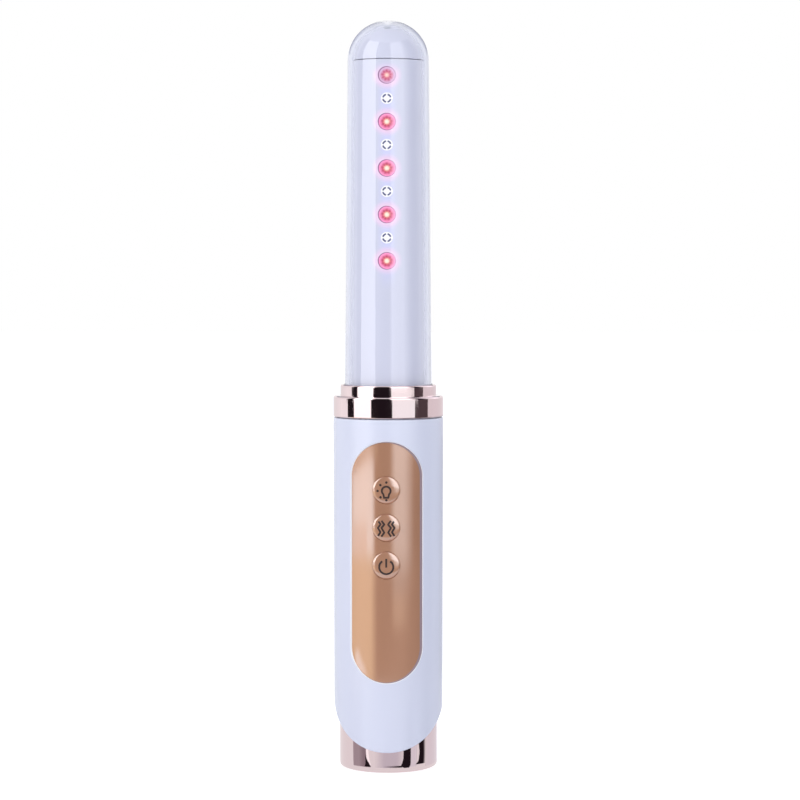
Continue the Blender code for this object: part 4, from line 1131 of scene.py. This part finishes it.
def make_base():
    """Polished cup with a rounded foot and a groove for its seal."""
    groove_floor = BASE_RADIUS - BASE_GROOVE_DEPTH
    half = (COUNTERBORE - groove_floor) / 2
    centre = BASE_HEIGHT - BASE_GROOVE_DROP
    inner = BASE_RADIUS - BASE_WALL
    corners = [(0, 0, 0), (BASE_RADIUS, 0, BASE_FILLET), (BASE_RADIUS, centre - half, 0),
               (groove_floor, centre - half, 0), (groove_floor, centre + half, 0),
               (BASE_RADIUS, centre + half, 0), (BASE_RADIUS, BASE_HEIGHT, BASE_RIM_FILLET),
               (inner, BASE_HEIGHT, 0), (inner, BASE_FLOOR, 0), (0, BASE_FLOOR, 0)]
    cup = lathe("base_cup", rounded(corners))
    for side in (-PAD_OFFSET, PAD_OFFSET):
        bore = drum("bore", PAD_HOLE_RADIUS, -OVERRUN, BASE_FLOOR + OVERRUN)
        bore.location = (side, 0, 0)
        bpy.context.view_layer.update()
        cut(cup, bore)
    stand_in(cup, "rose_plating", "base_cap")


def dress_frame():
    """Give each carried-over CAD node its slot's material."""
    for part in frame["record"]["subparts"]:
        node = frame["nodes"][part["node"]]
        material = MATERIALS.get(part["material_slot"])
        if material is not None:
            node.data.materials.clear()
            node.data.materials.append(material)


# Studio

def bare_tree(holder):
    """The emptied node tree of a material or world."""
    holder.use_nodes = True
    holder.node_tree.nodes.clear()
    return holder.node_tree


def card_material(name, colour):
    """Plain emission that fades to nothing where the card's cover runs out."""
    material = bpy.data.materials.new(name)
    tree = bare_tree(material)
    cover = add(tree, "Attribute", attribute_name="cover").outputs["Fac"]
    mixed = mix_shaders(tree, add(tree, "BsdfTransparent"), add(tree, "Emission", {"Color": colour}), cover)
    add(tree, "OutputMaterial", {"Surface": mixed})
    return material


def card(name, colour, rows, first_fade=0.0, last_fade=0.0):
    """A card over rows of (reach, height, first angle, last angle), seen in reflections and nowhere else.

    The reach is how far a ray has gone from the wand; the angle is that of the reflected ray.
    """
    data = bmesh.new()
    grid = []
    cover = []
    for reach, height, first, last in rows:
        line = []
        for step in range(CARD_STEPS + 1):
            degrees = first + (last - first) * step / CARD_STEPS
            angle = math.radians(degrees)
            facing = angle / 2 + CAMERA_AZIMUTH
            angle += CAMERA_AZIMUTH
            line.append(data.verts.new((CARD_START * math.sin(facing) + reach * math.sin(angle),
                                        -CARD_START * math.cos(facing) - reach * math.cos(angle), height)))
            before = (degrees - first) / first_fade if first_fade else 1.0
            after = (last - degrees) / last_fade if last_fade else 1.0
            cover.append(min(before, after, 1.0))
        grid.append(line)
    for lower, upper in zip(grid, grid[1:]):
        for step in range(CARD_STEPS):
            data.faces.new((lower[step], lower[step + 1], upper[step + 1], upper[step]))
    mesh = bpy.data.meshes.new(name)
    data.to_mesh(mesh)
    data.free()
    mesh.attributes.new("cover", "FLOAT", "POINT").data.foreach_set("value", cover)
    mesh.materials.append(card_material(name, colour))
    thing = new_object(name, mesh)
    for rays in ("camera", "diffuse", "transmission", "volume_scatter", "shadow"):
        setattr(thing, "visible_" + rays, False)
    return thing


def make_studio():
    """Cards, lights, floor, world and camera."""
    for group, tier, cards in STANDING:
        for name, reach, first, last, light, *fades in cards:
            rows = [(reach, height, first, last) for height in tier]
            card("card_%s_%s" % (group, name), light, rows, *fades)
    card("card_panel_corner", CORNER_LIGHT, CORNER_ROWS, last_fade=CORNER_FADE)
    for name, light, first_fade, last_fade, height, rows in LYING:
        card("card_" + name, light, [(reach, height, first, last) for reach, first, last in rows],
             first_fade, last_fade)
    for name, first, last, light in LIGHTS:
        lamp = card(name, light, [(FAR, height, first, last) for height in ROOM_TIER])
        lamp.visible_diffuse = True
        lamp.visible_glossy = False
    make_floor()
    make_world()
    make_camera()


def make_floor():
    """Flat floor just under the wand's foot."""
    data = bmesh.new()
    half = FLOOR_SIZE / 2
    corners = ((-half, -half, 0), (half, -half, 0), (half, half, 0), (-half, half, 0))
    data.faces.new([data.verts.new(corner) for corner in corners])
    floor = link("floor", data, floor_material())
    floor.location.z = -FLOOR_DROP


def floor_material():
    """White floor that keeps the wand's shadow; reflections and glass see it plain."""
    material = bpy.data.materials.new("floor_white")
    tree = bare_tree(material)
    path = add(tree, "LightPath").outputs
    matt = add(tree, "BsdfDiffuse", {"Color": FLOOR_COLOUR})
    lift, plain = (add(tree, "Emission", {"Strength": strength}) for strength in (FLOOR_LIFT, FLOOR_GLOSS))
    lifted = add(tree, "AddShader", {0: matt, 1: lift})
    seen = mix_shaders(tree, matt, lifted, path["Is Camera Ray"])
    mixed = mix_shaders(tree, seen, plain, mirrored(tree, path))
    add(tree, "OutputMaterial", {"Surface": mixed})
    return material


def mirrored(tree, path):
    """1 for rays that come by way of a mirror or through glass."""
    return combine(tree, "MAXIMUM", path["Is Glossy Ray"], path["Is Transmission Ray"])


def make_world():
    """Soft light from all round, seen as plain white."""
    world = bpy.data.worlds.new("studio")
    bpy.context.scene.world = world
    tree = bare_tree(world)
    path = add(tree, "LightPath").outputs
    direct = combine(tree, "MAXIMUM", mirrored(tree, path), path["Is Camera Ray"])
    ambient, white = (add(tree, "Background", {"Color": colour}) for colour in (AMBIENT, WHITE))
    mixed = mix_shaders(tree, ambient, white, direct)
    add(tree, "OutputWorld", {"Surface": mixed})


def make_camera():
    """Camera at the photograph's place."""
    lens = bpy.data.cameras.new("camera")
    lens.sensor_width = SENSOR
    lens.lens = FOCAL_PX * SENSOR / IMAGE_PX
    camera = new_object("camera", lens)
    camera.location = (CAMERA_DISTANCE * math.sin(CAMERA_AZIMUTH),
                       -CAMERA_DISTANCE * math.cos(CAMERA_AZIMUTH), CAMERA_HEIGHT)
    aside = math.atan((IMAGE_PX / 2 - AXIS_PX) / FOCAL_PX)
    camera.rotation_euler = (math.pi / 2 - CAMERA_TILT, 0, CAMERA_AZIMUTH - aside)
    bpy.context.scene.camera = camera
    bpy.context.scene.view_settings.view_transform = "Standard"


dress_frame()
make_sleeve()
make_core()
make_lamps()
make_collar()
make_shell()
make_panel()
make_buttons()
make_base()
make_studio()
